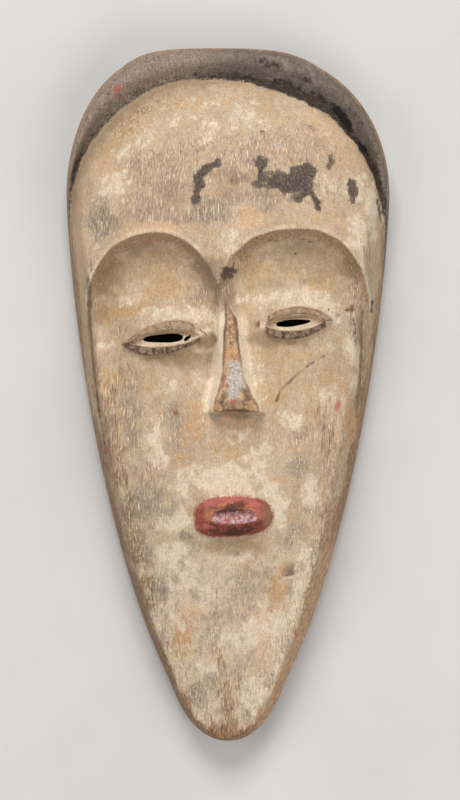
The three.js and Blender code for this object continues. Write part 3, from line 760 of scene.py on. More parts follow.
        (-3, -60, 1.6, 12, 4, 0.4), (-0.6, -88, 2.4, 9, 2, 0.85), (-2, -77, 2, 7, 8, 0.6),
        (0, -94.5, 6, 2.6, 0, 0.7), (2.6, -84, 1.4, 6, 4, 0.4), (-29, 77, 7, 2, 38, 0.55),
        (-20, 84.5, 6, 1.6, 24, 0.45), (-31, 19, 3, 1.2, 20, 0.4), (-33, 4, 4, 6, 0, 0.45),
        (29, -14, 2.4, 6, 0, 0.6), (27, -6, 5, 5, 0, 0.4),
    ),
    "wood": (
        (-15, -4.7, 1.3, 0.9, -40, 0.9), (35.3, 25.5, 0.7, 1, 0, 0.9), (9.4, 74.8, 0.8, 0.5, 0, 0.8),
        (37.2, -1.6, 1.3, 2.6, 0, 0.8), (3.3, 60.2, 3.4, 1, -8, 0.6), (16.6, -49.8, 1.6, 1.5, -20, 0.5),
        (8.4, 20.4, 0.9, 1.2, 0, 0.8),
    ),
    "amber": (
        (1.2, 12, 2, 3.4, 10, 0.7), (0.6, 8.4, 2.2, 1, 35, 1), (-2.9, -3, 1, 1.3, 0, 0.8),
        (6.8, -3.4, 1.6, 0.9, 0, 0.7),
    ),
    "tip": (
        (2.4, -4, 6.4, 0.6, 0, 0.8), (2.6, -2.6, 5.6, 1.7, 0, 0.5), (5.2, -0.6, 1.4, 2.6, 30, 0.7),
        (-1.2, -0.6, 0.9, 2.4, -20, 0.7),
    ),
    "red": (
        (31.2, -2.8, 0.8, 1.6, -12, 0.9), (-34.6, -15, 0.7, 1.1, 20, 0.8),
        (-1.1, 4.4, 0.5, 1.4, 0, 0.9), (1.2, -1.5, 1.2, 0.5, 0, 0.6), (19.6, -69, 0.6, 0.9, 0, 0.6),
        (-20.2, -72, 0.5, 0.9, 0, 0.6), (-2.8, -81.9, 1.2, 0.3, 0, 0.5), (11, 72.5, 1.3, 0.4, 25, 0.6),
        (-31.8, 88.4, 1, 0.9, 0, 0.9), (-30.9, 87.2, 2.2, 2, 0, 0.3), (-13, -20, 0.4, 2, 0, 0.3),
        (-22, 66, 1.6, 2, 0, 0.3),
    ),
    "chalk": ((2, 4.7, 2.2, 4.8, 4, 1), (13.8, 70.7, 0.9, 0.9, 0, 0.8), (28.2, 15.4, 1, 1, 0, 0.7)),
    "umber": (
        (1.4, -31.2, 3.2, 0.9, 4, 0.9), (2.2, -38.6, 3.6, 0.9, 4, 1), (5.6, -37.6, 2, 0.7, 0, 0.7),
        (-3.6, -38, 2, 0.7, -8, 0.7), (-7, -31.6, 1, 1.4, 0, 0.45), (-3.6, -31.3, 1.6, 0.5, 0, 0.6),
    ),
    "bare": ((11.4, -34.4, 1.4, 3.4, 0, 0.9), (10.6, -31, 1.2, 1.2, 0, 0.6), (-3, -31.6, 3, 1, 4, 0.7)),
    "crimson": (
        (-6.6, -30.4, 3.4, 1.4, 12, 1), (1, -29, 6, 0.8, 4, 1), (-5.6, -36.6, 2, 1.3, 0, 0.7),
        (7, -30.4, 2.6, 1.2, -12, 0.7), (-9, -37, 1.4, 1.1, 25, 0.8), (8.4, -33, 1.2, 1, 0, 0.6),
    ),
}

# Soot marks on the forehead, and blots and cracks: strokes from point to point, half width, strength
MARKS = (
    ((-3.3, 65.9), (-5.6, 64.6), 1, 1), ((-5.6, 64.6), (-7.3, 62.6), 1.4, 1),
    ((-7.3, 62.6), (-8.2, 59.4), 1.5, 1), ((-8.2, 59.4), (-9.3, 55.4), 1.1, 1),
    ((8.7, 67.3), (9.6, 64.2), 1.4, 1), ((9.6, 64.2), (10.8, 62), 1.2, 0.6),
    ((7.2, 59.9), (12, 59.3), 1.3, 0.8), ((10.2, 61.2), (13.4, 60.8), 1.8, 0.9),
    ((12, 63), (14.4, 61.8), 1.3, 0.8), ((11.4, 59.4), (13.4, 60.6), 1.7, 0.95),
    ((14, 61.8), (16.2, 59.8), 2, 1), ((16.2, 59.8), (18.4, 58.6), 1.7, 1),
    ((18.8, 63.6), (19.6, 62), 1.3, 1), ((19.6, 62), (21.6, 60.4), 1.3, 0.95),
    ((21.6, 60.4), (21.8, 57.4), 1.2, 1), ((21.8, 57.4), (20.4, 55.8), 1.2, 1),
    ((18.6, 57.6), (20, 56.4), 1.2, 0.7), ((22.4, 63.4), (23, 62.8), 1.7, 1),
    ((23.6, 57.2), (25.5, 52.9), 1.15, 1), ((18.2, 60.8), (21.6, 62.4), 1.2, 0.5),
    ((22.6, 61.4), (22.8, 58.4), 1.5, 0.85), ((28.9, 68.4), (28.7, 64.4), 0.8, 0.8),
    ((35, 60.9), (35.2, 58), 1.1, 1), ((35.2, 58), (35.3, 55.6), 0.8, 0.9),
    ((-0.5, 35.3), (1, 35.8), 1.4, 1), ((1.7, 37.5), (1.3, 36.3), 0.8, 0.9),
    ((0, 34.4), (0.6, 34.4), 0.9, 0.8), ((-2, 36), (-0.6, 35.8), 0.5, 0.5),
    ((21.2, 77.5), (25.2, 75.5), 0.5, 0.4), ((17, 65), (18, 67), 0.7, 0.25),
)
PITCH = (
    ((31.4, 81.8), (32.8, 79.9), 1.5, 1), ((32.8, 79.9), (34.1, 78), 1.3, 1),
    ((34.1, 77.6), (34.9, 76), 0.8, 0.7), ((37.9, 72.3), (39, 70.7), 1, 0.95),
)
BLOTS = (
    ((36.4, 74), (37.6, 72.4), 0.5, 0.6), ((26, 85.2), (30.4, 82.8), 1.2, 0.7),
    ((15, 89.4), (20, 87.4), 1.9, 0.65), ((20, 87.4), (26, 85), 1.9, 0.65),
    ((10.2, 96), (14, 94.8), 1.3, 0.6), ((34.8, 82.4), (36.4, 81.2), 0.8, 0.5),
    ((37, 80.4), (38.2, 78.6), 0.7, 0.45), ((19, 92.6), (23, 91), 1.2, 0.45),
    ((43, 56), (44, 50), 0.5, 0.7), ((45.2, 53), (45.6, 50), 0.5, 0.6),
    ((41.3, 27.2), (41.3, 24.6), 0.4, 0.9), ((-37.4, 1), (-36.4, -8), 0.35, 0.6),
    ((-36.4, -8), (-35, -16), 0.3, 0.5), ((35.6, -13.8), (34.4, -19.5), 0.35, 0.6),
    ((36, 22), (36.6, 15), 0.45, 0.4), ((11.6, 44), (19, 44.6), 0.3, 0.4),
    ((19, 44.6), (26.2, 43.8), 0.3, 0.35), ((-38.6, 36), (-39.6, 22), 0.3, 0.4),
    ((-8, 18.9), (-6, 17.4), 0.25, 0.5),
)
CRACKS = (
    ((7.5, 21.4), (7.8, 19.6), 0.22, 0.5), ((9.8, 21.9), (9.9, 20.2), 0.2, 0.4),
    ((31, 24.2), (31.2, 22.6), 0.25, 0.7), ((-39.6, 34), (-39.2, 20), 0.5, 0.7),
    ((-39.2, 20), (-38.4, 8), 0.45, 0.65), ((-38.4, 8), (-37, -4), 0.4, 0.6),
    ((-28.6, 9.4), (-27, 6.2), 0.25, 0.6), ((-26.6, 8.4), (-25.8, 5.6), 0.22, 0.5),
    ((-6.2, 28), (-5.6, 24), 0.25, 0.4), ((38.4, 24), (38.2, 10), 0.5, 0.7),
    ((38.2, 10), (37, -6), 0.45, 0.6),
)
DOTS = (
    (21.4, 32.5, 0.4), (26, 27.9, 0.3), (30.8, 22.8, 0.3), (-7.9, 21.1, 0.35), (19.2, 40.4, 0.35),
    (-30, 28.5, 0.25), (8, 44.5, 0.3), (28.7, 24.6, 0.25), (34, 24.6, 0.7),
)

# The clay's upper edge, as reach at angles from the middle of the face, in degrees
CLAY_EDGE = (
    (20, 1), (30, 0.985), (36, 0.959), (44, 0.938), (54, 0.916), (62, 0.908), (71, 0.898), (81, 0.899),
    (85, 0.908), (95, 0.914), (105, 0.92), (117, 0.927), (126, 0.937), (136, 0.961), (145, 0.98),
    (155, 1),
)

# How noise moves edges, more for soot marks, and less for patches of less than this half size
EDGE_WAVER = 0.35
MARK_WAVER = 1.5
LOOSE_FROM = 4

# Smooth steps of the paint, from a start to an end, some of them measured from a line on the carving
STEPS = {
    "patch": (1.65, 0.3), "stroke": (1.5, 0.6), "dot": (1.5, 0.5), "scratch": (1.5, 0.4),
    "margin": (15, 3), "margin top": (58, 36), "margin low": (6, -16), "chin": (-34, -48),
    "painted": (2.2, 0.6), "wall": (0.7, 0.3), "crown wall": (38, 56),
    "crest": (-0.016, 0.012), "crest height": (34, 60), "crest right": (-20, 14),
    "past clay": (-0.01, 0.002), "tan band": (4, -12),
    "side low": (-10, -50), "side top": (62, 40), "bare side": (2.2, -1), "bare chin": (-93, -98),
    "crest edge": (1.1, 0.2), "crest edge top": (40, 70),
    "brow root": (9, 4), "brow root top": (42, 36), "brow wall wide": (26, 43),
    "brow wall": (-0.15, 0.1), "brow wall end": (2.4, -0.8), "brow wall low": (-14, 8),
    "shade": (2, 6), "shade end": (16, 9), "shade top": (24, 40), "shade middle": (20, 9),
    "right plane": (4, 12), "right plane low": (-30, -48), "worn arch": (14, 30),
    "recess pale": (1, -0.6), "recess olive": (0.6, 1.6),
    "nose tip": (-0.6, 0.2), "nose root": (-8, -12), "nose": (0.3, -0.1),
    "nose edge": (-1.3, -0.2), "nose edge high": (6, 16),
    "beside nose": (0, 0.4), "nose clay": (0, -4), "nose clay high": (1, 9),
    "nose clay top": (27, 20), "nose side shade": (8, 12),
    "lips": (1.06, 0.9), "lip rim": (0.6, 0.95), "low lip": (0.1, -0.35), "mouth": (1.15, 0.85),
    "mouth line": (0.6, 0.85), "mouth line end": (1.25, 1.05), "mouth line up": (0.05, 0.25),
    "mouth line left": (-7, -3), "mouth line right": (5, 1),
}
DOT_STRENGTH = 0.8
SCRATCH_STRENGTH = 0.6
CHIP_STRENGTH = (0.25, 0.85)
MARGIN_STRENGTH = (0.3, 1)
CHIN_WAVER = 2

# Crest, the wood of its groove and painted shade on the clay below it: widths are shares of reach, and
# pairs are for the left and the right
CREST = {
    "past_table": 1.1, "waver": 0.003, "line_at": 0.003, "line_width": (0.006, 0.01), "line": (0.55, 0.85),
    "stripe_width": (0.024, 0.042), "stripe_full": 0.2, "stripe_waver": 0.006, "stripe": (0.56, 0.76),
}
# Painted shade on the clay just below the crest, in the olive share, wider and stronger on the left
CREST_SHADE_ON_CLAY = {"width": (0.072, 0.02), "waver": 0.008, "strength": (0.76, 0.4)}

# Bare wood, painted shade under the brows, lighter wood on the right side planes as painted light, and a
# worn brow edge that is partly a painted highlight, with pairs for the start and the end of a step
BARE_SIDE = {"left": (1.2, 2), "right": (1.6, 2.8), "strength": (0.7, 0.9)}
BARE_CHIN_WAVER = 0.8
BROW_ROOT_X = -1
BROW_WALL = {"width": (0.4, 1.3), "waver": 0.4}
SHADE_MIDDLE = 0.75
# Lighter wood on the right side planes of the lower face: painted light
RIGHT_PLANE = 0.8
# A pale worn edge along the top of the brow arches, partly a painted highlight
WORN_LIT_ARCH = {"strength": 0.5, "at": -0.7, "width": 0.7}

# Eyes, nose and lips
CLEAR_IN_RECESS = ("olive", "grey", "mauve", "ochre", "wood")
# In the recesses: pale paint low down, and olive painted shade in their upper part under the upper lids
RECESS_PAINT = {"pale": 0.9, "olive": 0.8}
NOSE_EDGE = {"strength": 0.7, "grade": (0.3, 1)}
# Pale clay on the nose's sides, brightened as painted light, with less of it where olive painted shade lies
# beside the eyes
NOSE_LIT_CLAY = {"left": (2.8, 1.3), "right": 1.2, "stain": 0.8}
LIP_RIM_LEAN = 0.06


def step(name, value, line=0):
    """The paint's smooth step of that name, measured from a line."""
    start, end = STEPS[name]
    return smooth(line + start, line + end, value)


def patch_share(x, y, patch, wobble, warp):
    """How far a point is inside a soft patch, from 0 to its strength."""
    centre_x, centre_y, wide, high, tilt, strength = patch
    loose = min(1, min(wide, high) / LOOSE_FROM)
    centre = {"x": centre_x, "y": centre_y, "tilt": tilt}
    u, v = to_tilted(centre, x + loose * warp[0], y + loose * warp[1])
    return strength * step("patch", np.hypot(u / wide, v / high) + EDGE_WAVER * wobble)


def stroke_share(x, y, stroke, wobble):
    """How far a point is on a stroke, from 0 to its strength."""
    start, end, wide, strength = stroke
    return strength * step("stroke", stroke_distance(x, y, start, end) / wide + EDGE_WAVER * wobble)


def union(shares, like):
    total = np.zeros_like(like)
    for share in shares:
        total = np.maximum(total, share)
    return total


def crack_share(x, y, wobble):
    """Dark lines of the cracks, the long scratch and the chip."""
    cracks = union((stroke_share(x, y, crack, wobble) for crack in CRACKS), x)
    scratch = step("scratch", scratch_distance(x, y) / SCRATCH["width"])
    scratch = scratch * (SCRATCH_STRENGTH + waver("scratch paint", x, y))
    chip, across = chip_shares(x, y)
    return np.maximum.reduce([cracks, scratch, chip * graded(CHIP_STRENGTH, across)])


def paint_shares(x, y, z, facets):
    """Shares from 0 to 1 of each kind of paint and wear, painted shade and painted light, at each point of
    the mesh.
    """
    wobble = waver("paint", x, y)
    warp = waver("paint across", x, y), waver("paint along", x, y)
    shares = {}
    for name, patches in PATCHES.items():
        shares[name] = union((patch_share(x, y, patch, wobble, warp) for patch in patches), x)
    shares["soot"] = union((stroke_share(x, y, mark, MARK_WAVER * wobble) for mark in MARKS), x)
    shares["pitch"] = union((stroke_share(x, y, stroke, wobble) for stroke in PITCH), x)
    shares["crack"] = crack_share(x, y, wobble)
    margin = step("margin", inset(x, y)) * step("margin top", y)
    shares["margin"] = margin * graded(MARGIN_STRENGTH, step("margin low", y))
    shares["chin"] = step("chin", y + CHIN_WAVER * wobble)
    add_crest(shares, x, y, wobble)
    blots = union((stroke_share(x, y, blot, wobble) for blot in BLOTS), x)
    dots = union((step("dot", np.hypot(x - a, y - b) / radius) for a, b, radius in DOTS), x)
    shares["dark"] = np.maximum.reduce([shares["dark"], blots, DOT_STRENGTH * dots])
    add_wood(shares, x, y, wobble)
    add_eyes(shares, x, y)
    add_nose(shares, x, y)
    add_lips(shares, x, y)

    # Only the front is painted: the outer wall is wood and crest, and the back is plain wood
    painted = step("painted", front(x, y, facets) - z)
    wall = (1 - painted) * step("wall", inset(x, y))
    crown_wall = wall * step("crown wall", y)
    for name in shares:
        shares[name] = shares[name] * painted
    shares["crest"] = np.maximum(shares["crest"], crown_wall)
    shares["wood"] = np.maximum(shares["wood"], wall - crown_wall)
    shares["back"] = np.clip(1 - painted - wall, 0, 1)
    return shares


def add_crest(shares, x, y, wobble):
    """The grey crest, the dark wood of its groove, and painted shade on the clay's edge beside it, kept in
    the olive share.
    """
    reach = reach_of(x, y)
    angles, reaches = zip(*CLAY_EDGE)
    past = CREST["past_table"]
    edge = np.interp(angle_of(x, y), angles, reaches, left=past, right=past) + CREST["waver"] * wobble
    crest = step("crest", reach, edge)
    high, right = step("crest height", y), step("crest right", x)
    line = np.exp(-(((reach - edge - CREST["line_at"]) / graded(CREST["line_width"], right)) ** 2)) * high
    end = edge + graded(CREST["stripe_width"], right)
    full = edge + CREST["stripe_full"] * graded(CREST["stripe_width"], right)
    stripe = crest * smooth(end, full, reach + CREST["stripe_waver"] * wobble) * high
    dark = np.maximum(graded(CREST["line"], right) * line, graded(CREST["stripe"], right) * stripe)
    # Painted shade along the clay's upper edge below the crest
    crest_shade = smooth(graded(CREST_SHADE_ON_CLAY["width"], right), 0, edge - reach + CREST_SHADE_ON_CLAY["waver"] * wobble)
    crest_shade = crest_shade * (1 - crest) * high
    shares["crest"] = crest
    shares["dark"] = dark * step("past clay", reach, edge)
    shares["tan_band"] = crest * step("tan band", x) * high
    shares["olive"] = np.maximum(shares["olive"], graded(CREST_SHADE_ON_CLAY["strength"], right) * crest_shade)


def add_wood(shares, x, y, wobble):
    """Bare wood on the side planes, the chin and the crest's edge. Bare wood with painted shade on the
    walls under the brows, broader painted shade below them, lighter wood on the right side planes as
    painted light, and a worn pale brow edge that is partly a painted highlight.
    """
    rim = inset(x, y)
    low = step("side low", y)
    width = np.where(x > 0, graded(BARE_SIDE["right"], low), graded(BARE_SIDE["left"], low))
    side = step("bare side", rim, width + waver("bare sides", x, y))
    side = graded(BARE_SIDE["strength"], low) * side * step("side top", y)
    chin = step("bare chin", y + BARE_CHIN_WAVER * wobble)
    shares["crest_edge"] = step("crest edge", rim) * step("crest edge top", y)
    inside = inside_brows(x, y)
    from_root = np.abs(x - BROW_ROOT_X)
    root = step("brow root", from_root) * step("brow root top", y)
    width = graded(BROW_WALL["width"], step("brow wall wide", y)) + BROW_WALL["waver"] * wobble
    wall = step("brow wall", inside) * step("brow wall end", inside, width) * step("brow wall low", y)
    # Bare wood and painted shade on the walls just under the brow arches, left out at the nose's root
    shares["scoop"] = wall * (1 - root)
    # Broader painted shade further below the brows, weaker near the middle
    shade = step("shade", inside) * step("shade end", inside + wobble) * step("shade top", y)
    shares["shade"] = shade * (1 - SHADE_MIDDLE * step("shade middle", from_root))
    shares["wood"] = np.maximum.reduce([shares["wood"], side, chin])
    # Painted light: lighter wood on the right side planes, which face away from the main lamp
    shares["right_plane"] = RIGHT_PLANE * step("right plane", x) * step("right plane low", y)
    # Pale worn edge just outside the brow arches, partly a painted highlight where the edge meets the light
    arch = np.exp(-(((inside - WORN_LIT_ARCH["at"]) / WORN_LIT_ARCH["width"]) ** 2))
    arch = arch * step("worn arch", y) * (inside < 0)
    shares["worn"] = (WORN_LIT_ARCH["strength"] + waver("worn arches", x, y)) * arch * (1 - root)


def add_eyes(shares, x, y):
    """The lids' worn paint, the pale recesses between them, and olive painted shade along the top of each
    recess under the upper lid.
    """
    shares["lid"], shares["low_lid"] = np.zeros_like(x), np.zeros_like(x)
    for eye in EYES:
        upper, lower, recess = lid_shares(eye, x, y)
        shares["lid"] = np.maximum(shares["lid"], upper)
        shares["low_lid"] = np.maximum(shares["low_lid"], lower)
        for name in CLEAR_IN_RECESS:
            shares[name] = shares[name] * (1 - recess)
        _, v = to_tilted(eye["recess"], x, y)
        for name, strength in RECESS_PAINT.items():
            shares[name] = np.maximum(shares[name], strength * recess * step(f"recess {name}", v))


def add_nose(shares, x, y):
    """The nose's dull front plane with darker edges, and pale clay on its sides made brighter as painted
    light, dimmed where olive painted shade lies beside the eyes' inner corners.
    """
    centre, plane, foot, _ = nose_frame(y)
    away = np.abs(x - centre) + waver("nose paint", x, y)
    tip = step("nose tip", y, NOSE["tip_y"])
    shares["nose"] = step("nose", away, plane) * step("nose root", y, NOSE["root_y"]) * tip
    edge = step("nose edge", away, plane) * graded(NOSE_EDGE["grade"], step("nose edge high", y))
    shares["nose_edge"] = shares["nose"] * edge * (NOSE_EDGE["strength"] + waver("nose edges", x, y))
    left = graded(NOSE_LIT_CLAY["left"], step("nose clay high", y))
    end = foot + np.where(x < centre, left, NOSE_LIT_CLAY["right"])
    side = step("beside nose", away, plane) * step("nose clay", away, end) * step("nose clay top", y) * tip
    # Less of the bright side paint where olive painted shade lies beside the eyes' inner corners
    shares["nose_side"] = side * (1 - NOSE_LIT_CLAY["stain"] * shares["olive"] * step("nose side shade", y))


def add_lips(shares, x, y):
    """Red paint on the lips, brightest along their ragged rim, the pink opening, and a painted shadow line
    under the upper lip.
    """
    out, hole, v = mouth_shares(x, y)
    shares["lips"] = step("lips", out)
    shares["lip_rim"] = step("lip rim", out + LIP_RIM_LEAN * v)
    shares["low_lip"] = step("low lip", v)
    shares["mouth"] = step("mouth", hole)
    across, _ = to_tilted(MOUTH, x, y)
    # A dark line along the top of the opening: painted shadow under the upper lip
    line = step("mouth line", hole) * step("mouth line end", hole) * step("mouth line up", v)
    shares["lip_shadow_line"] = line * step("mouth line left", across) * step("mouth line right", across)


# Building the mesh


def points_of(bm):
    return np.array([vert.co[:] for vert in bm.verts])


def open_edges(bm):
    return [edge for edge in bm.edges if edge.is_boundary]


def move_points(verts, x, y, z):
    for vert, a, b, c in zip(verts, x, y, z):
        vert.co = (a * MM, b * MM, c * MM)


def add_front(bm, carving):
    """The carved front as an open grid, finer where the carving is, with a wall down to the floor."""
    bmesh.ops.create_grid(bm, x_segments=carving.columns, y_segments=carving.rows, size=SQUARE)
    flat = points_of(bm)
    x, y = on_face(flat[:, 0], flat[:, 1])
    fine = in_detail(x, y)
    edges = [edge for edge in bm.edges if all(fine[vert.index] for vert in edge.verts)]
    bmesh.ops.subdivide_edges(bm, edges=edges, cuts=1, use_grid_fill=True)
    flat = points_of(bm)
    x, y = on_face(flat[:, 0], flat[:, 1])
    move_points(bm.verts, x, y, front(x, y, carving.facets / MM))
    loop = open_edges(bm)
    last = 1
    for share in WALL_STEPS:
        grown = bmesh.ops.extrude_edge_only(bm, edges=loop)["geom"]
        for vert in (item for item in grown if isinstance(item, bmesh.types.BMVert)):
            vert.co.z *= share / last
        loop = [item for item in grown if isinstance(item, bmesh.types.BMEdge)]
        last = share


def add_hollow(bm, carving):
    """The hollow as a grid half as fine, with its open edge cut to match the wall's."""
    columns, rows = carving.columns // 2, carving.rows // 2
    bmesh.ops.create_grid(bm, x_segments=columns, y_segments=rows, size=SQUARE)
    bmesh.ops.subdivide_edges(bm, edges=open_edges(bm), cuts=1)
    flat = points_of(bm)
    x, y, z = hollow_point(flat[:, 0], flat[:, 1], carving.gouges / MM)
    move_points(bm.verts, x, y, z)


def slit_cutter(slit):
    """An upright prism with a hand-cut slit's outline."""
    bm = bmesh.new()
    bmesh.ops.create_circle(bm, segments=SLIT_POINTS, radius=1, cap_ends=True)
    flat = points_of(bm)
    u = flat[:, 0] * slit["width"]
    v = np.sign(flat[:, 1]) * np.abs(flat[:, 1]) ** SLIT_POWER * slit["height"]
    uneven = SLIT_WAVER["share"] * cloud(u, v, SLIT_WAVER["width"], SLIT_WAVER["height"], slit["seed"])
    v = v * (1 + uneven) * (1 + slit["fuller"] * flat[:, 0])
    x, y = from_tilted(slit, u, v)
    move_points(bm.verts, x, y, np.full_like(x, SLIT_BOTTOM))
    grown = bmesh.ops.extrude_face_region(bm, geom=bm.faces[:])["geom"]
    top = [item for item in grown if isinstance(item, bmesh.types.BMVert)]
    bmesh.ops.translate(bm, verts=top, vec=(0, 0, (SLIT_TOP - SLIT_BOTTOM) * MM))
    bmesh.ops.recalc_face_normals(bm, faces=bm.faces)
    return new_object("slit_cutter", bm)


def new_object(name, bm):
    mesh = bpy.data.meshes.new(name)
    bm.to_mesh(mesh)
    bm.free()
    piece = bpy.data.objects.new(name, mesh)
    bpy.context.scene.collection.objects.link(piece)
    return piece


def cut_slits(piece):
    """Cuts the eye slits through the mask, and keeps the result as plain mesh."""
    cutters = [slit_cutter(slit) for slit in (*(eye["slit"] for eye in EYES), SLIT_CORNER)]
    for cutter in cutters:
        cut = piece.modifiers.new("slit", "BOOLEAN")
        cut.operation = "DIFFERENCE"
        cut.solver = "EXACT"
        cut.object = cutter
    graph = bpy.context.evaluated_depsgraph_get()
    carved = bpy.data.meshes.new_from_object(piece.evaluated_get(graph))
    piece.modifiers.clear()
    piece.data = carved
    for cutter in cutters:
        bpy.data.meshes.remove(cutter.data)
    return piece


def build_mask(carving):
    bm = bmesh.new()
    add_hollow(bm, carving)
    bmesh.ops.translate(bm, verts=bm.verts, vec=JOIN_LIFT)
    hollow = bpy.data.meshes.new("hollow")
    bm.to_mesh(hollow)
    bm.clear()
    add_front(bm, carving)
    outer = len(bm.verts)
    bm.from_mesh(hollow)
    bmesh.ops.bridge_loops(bm, edges=open_edges(bm))
    bm.verts.ensure_lookup_table()
    bmesh.ops.translate(bm, verts=bm.verts[outer:], vec=-Vector(JOIN_LIFT))
    bmesh.ops.recalc_face_normals(bm, faces=bm.faces)
    if bm.calc_volume(signed=True) < 0:
        bmesh.ops.reverse_faces(bm, faces=bm.faces)
    piece = cut_slits(new_object(PIECE, bm))
    piece.data.shade_smooth()
    piece.data.set_sharp_from_angle(angle=SHARP_ANGLE)
    return piece


def store_shares(piece, shares):
    """Keeps each share as a point attribute that the material reads."""
    for name, values in shares.items():
        layer = piece.data.attributes.new(name, "FLOAT", "POINT")
        layer.data.foreach_set("value", np.clip(values, 0, 1).astype(np.float32))


# Materials. Noise: the size of its lumps along X, Y and Z in millimetres, its detail, roughness and shift
GRAINS = {
    "speck": ((0.42, 0.5, 0.42), 2, 0.6, 7.7),
    "fibre": ((0.34, 2.8, 0.5), 3, 0.6, 5.9),
    "streak": ((0.8, 6, 1), 4, 0.6, 1.3),
    "patchy": ((2, 2.6, 2), 5, 0.6, 0),
    "broad": ((8, 11, 8), 3, 0.55, 3.1),
    "scratch": ((0.3, 3.2, 0.6), 1, 0.55, 9.2),
    "thread": ((0.36, 14, 0.8), 2, 0.55, 4.4),
    "grit": ((0.62, 0.75, 0.62), 3, 0.75, 2.6),
    "flake": ((1.3, 1.6, 1.3), 5, 0.72, 6.3),
    "mottle": ((3.2, 4.2, 3.2), 5, 0.66, 8.8),
    "cross": ((1.8, 0.36, 0.6), 3, 0.55, 0),
    "ragged": ((0.5, 1.5, 1), 3, 0.7, 3.7),
}
BROAD_SHARE = 0.6
WEAVE_SHARE = 0.5

# Where a noise turns to a mask, from a start to an end
MASKS = {
    "greyed": ("mottle", 0.48, 0.38),
    "specks": ("grit", 0.55, 0.68),
    "speck places": ("patchy", 0.36, 0.56),
    "scratches": ("scratch", 0.59, 0.69),
    "lines": ("thread", 0.54, 0.66),
}

# Colours are levels from 0 to 255, or the name of a paint or a tone. Flecks: the noise, where they begin
# and are full, how strong they are, and their colour
FLECKS = {
    "warm clay": ("mottle", 0.53, 0.66, 0.5, (208, 168, 122)),
    "pale specks": ("grit", 0.44, 0.3, 0.5, (238, 220, 192)),
    "pale wood": ("streak", 0.52, 0.68, 0.65, (194, 158, 118)),
    "pale lid": ("grit", 0.46, 0.34, 0.7, (200, 164, 128)),
    "pale crest": ("blotch", 0.95, 1.25, 0.6, (142, 129, 114)),
    "brown crest": ("patchy", 0.44, 0.34, 0.5, (124, 98, 72)),
    "dark crest specks": ("grit", 0.54, 0.68, 0.7, (70, 58, 49)),
    "pale crest specks": ("grit", 0.42, 0.3, 0.6, (170, 152, 132)),
    "dark lip specks": ("grit", 0.56, 0.68, 0.55, (84, 46, 38)),
    "pale lip specks": ("grit", 0.42, 0.3, 0.25, (204, 142, 116)),
}

# Layers over a mask or a stored share: how strong they are, and their colour
LAYERS = {
    "chin": (0.45, (218, 198, 172)),
    "greyed": (0.35, (172, 150, 132)),
    "specks": (0.5, (130, 100, 72)),
    "lines": (0.6, (118, 92, 72)),
    "scratches": (0.75, (236, 214, 180)),
    "tan_band": (0.75, "tan band"),
    "low_lip": (0.9, "lower lip"),
}
THIN_PAINT = {"margin": 0.7, "from": 0.1, "to": 0.5}

# Two colours parted by noise: the noise, where it turns, and the colours before and after
TONES = {
    "clay": ("lumpy", 0.62, 0.98, "clay paint", "tan paint"),
    "mauve": ("fibre", 0.35, 0.65, (158, 130, 111), (192, 163, 140)),
    "grey": ("fibre", 0.36, 0.62, (128, 108, 92), (176, 156, 136)),
    "brown": ("fibre", 0.38, 0.62, (128, 98, 74), (182, 150, 118)),
    "timber": ("fibre", 0.36, 0.64, (112, 82, 60), "wood paint"),
    # Lighter timber for the right side planes: painted light
    "lit timber": ("streak", 0.4, 0.6, (160, 122, 90), (214, 174, 132)),
    # Walls under the brows: bare wood, darkened as painted shade
    "scoop": ("fibre", 0.36, 0.64, (148, 118, 88), (186, 156, 124)),
    "upper lid": ("flake", 0.38, 0.62, (138, 112, 90), (180, 150, 122)),
    "lower lid": ("flake", 0.42, 0.6, (92, 72, 60), (148, 122, 102)),
    "nose": ("flake", 0.42, 0.58, (138, 104, 86), (206, 168, 126)),
    "chalk": ("grit", 0.3, 0.66, (166, 152, 140), (202, 193, 181)),
    "crest": ("weave", 0.3, 0.62, (92, 80, 69), "crest paint"),
    "tan band": ("weave", 0.28, 0.7, (128, 109, 93), (174, 154, 134)),
    "soot": ("grit", 0.38, 0.66, (46, 38, 37), (116, 100, 88)),
    "upper lip": ("flake", 0.4, 0.6, (192, 124, 90), (156, 88, 70)),
    "lower lip": ("flake", 0.4, 0.6, (128, 56, 44), (92, 48, 38)),
    "mouth": ("flake", 0.42, 0.6, (170, 98, 98), (210, 184, 182)),
    "back": ("streak", 0.35, 0.65, (86, 62, 42), (124, 94, 66)),
}

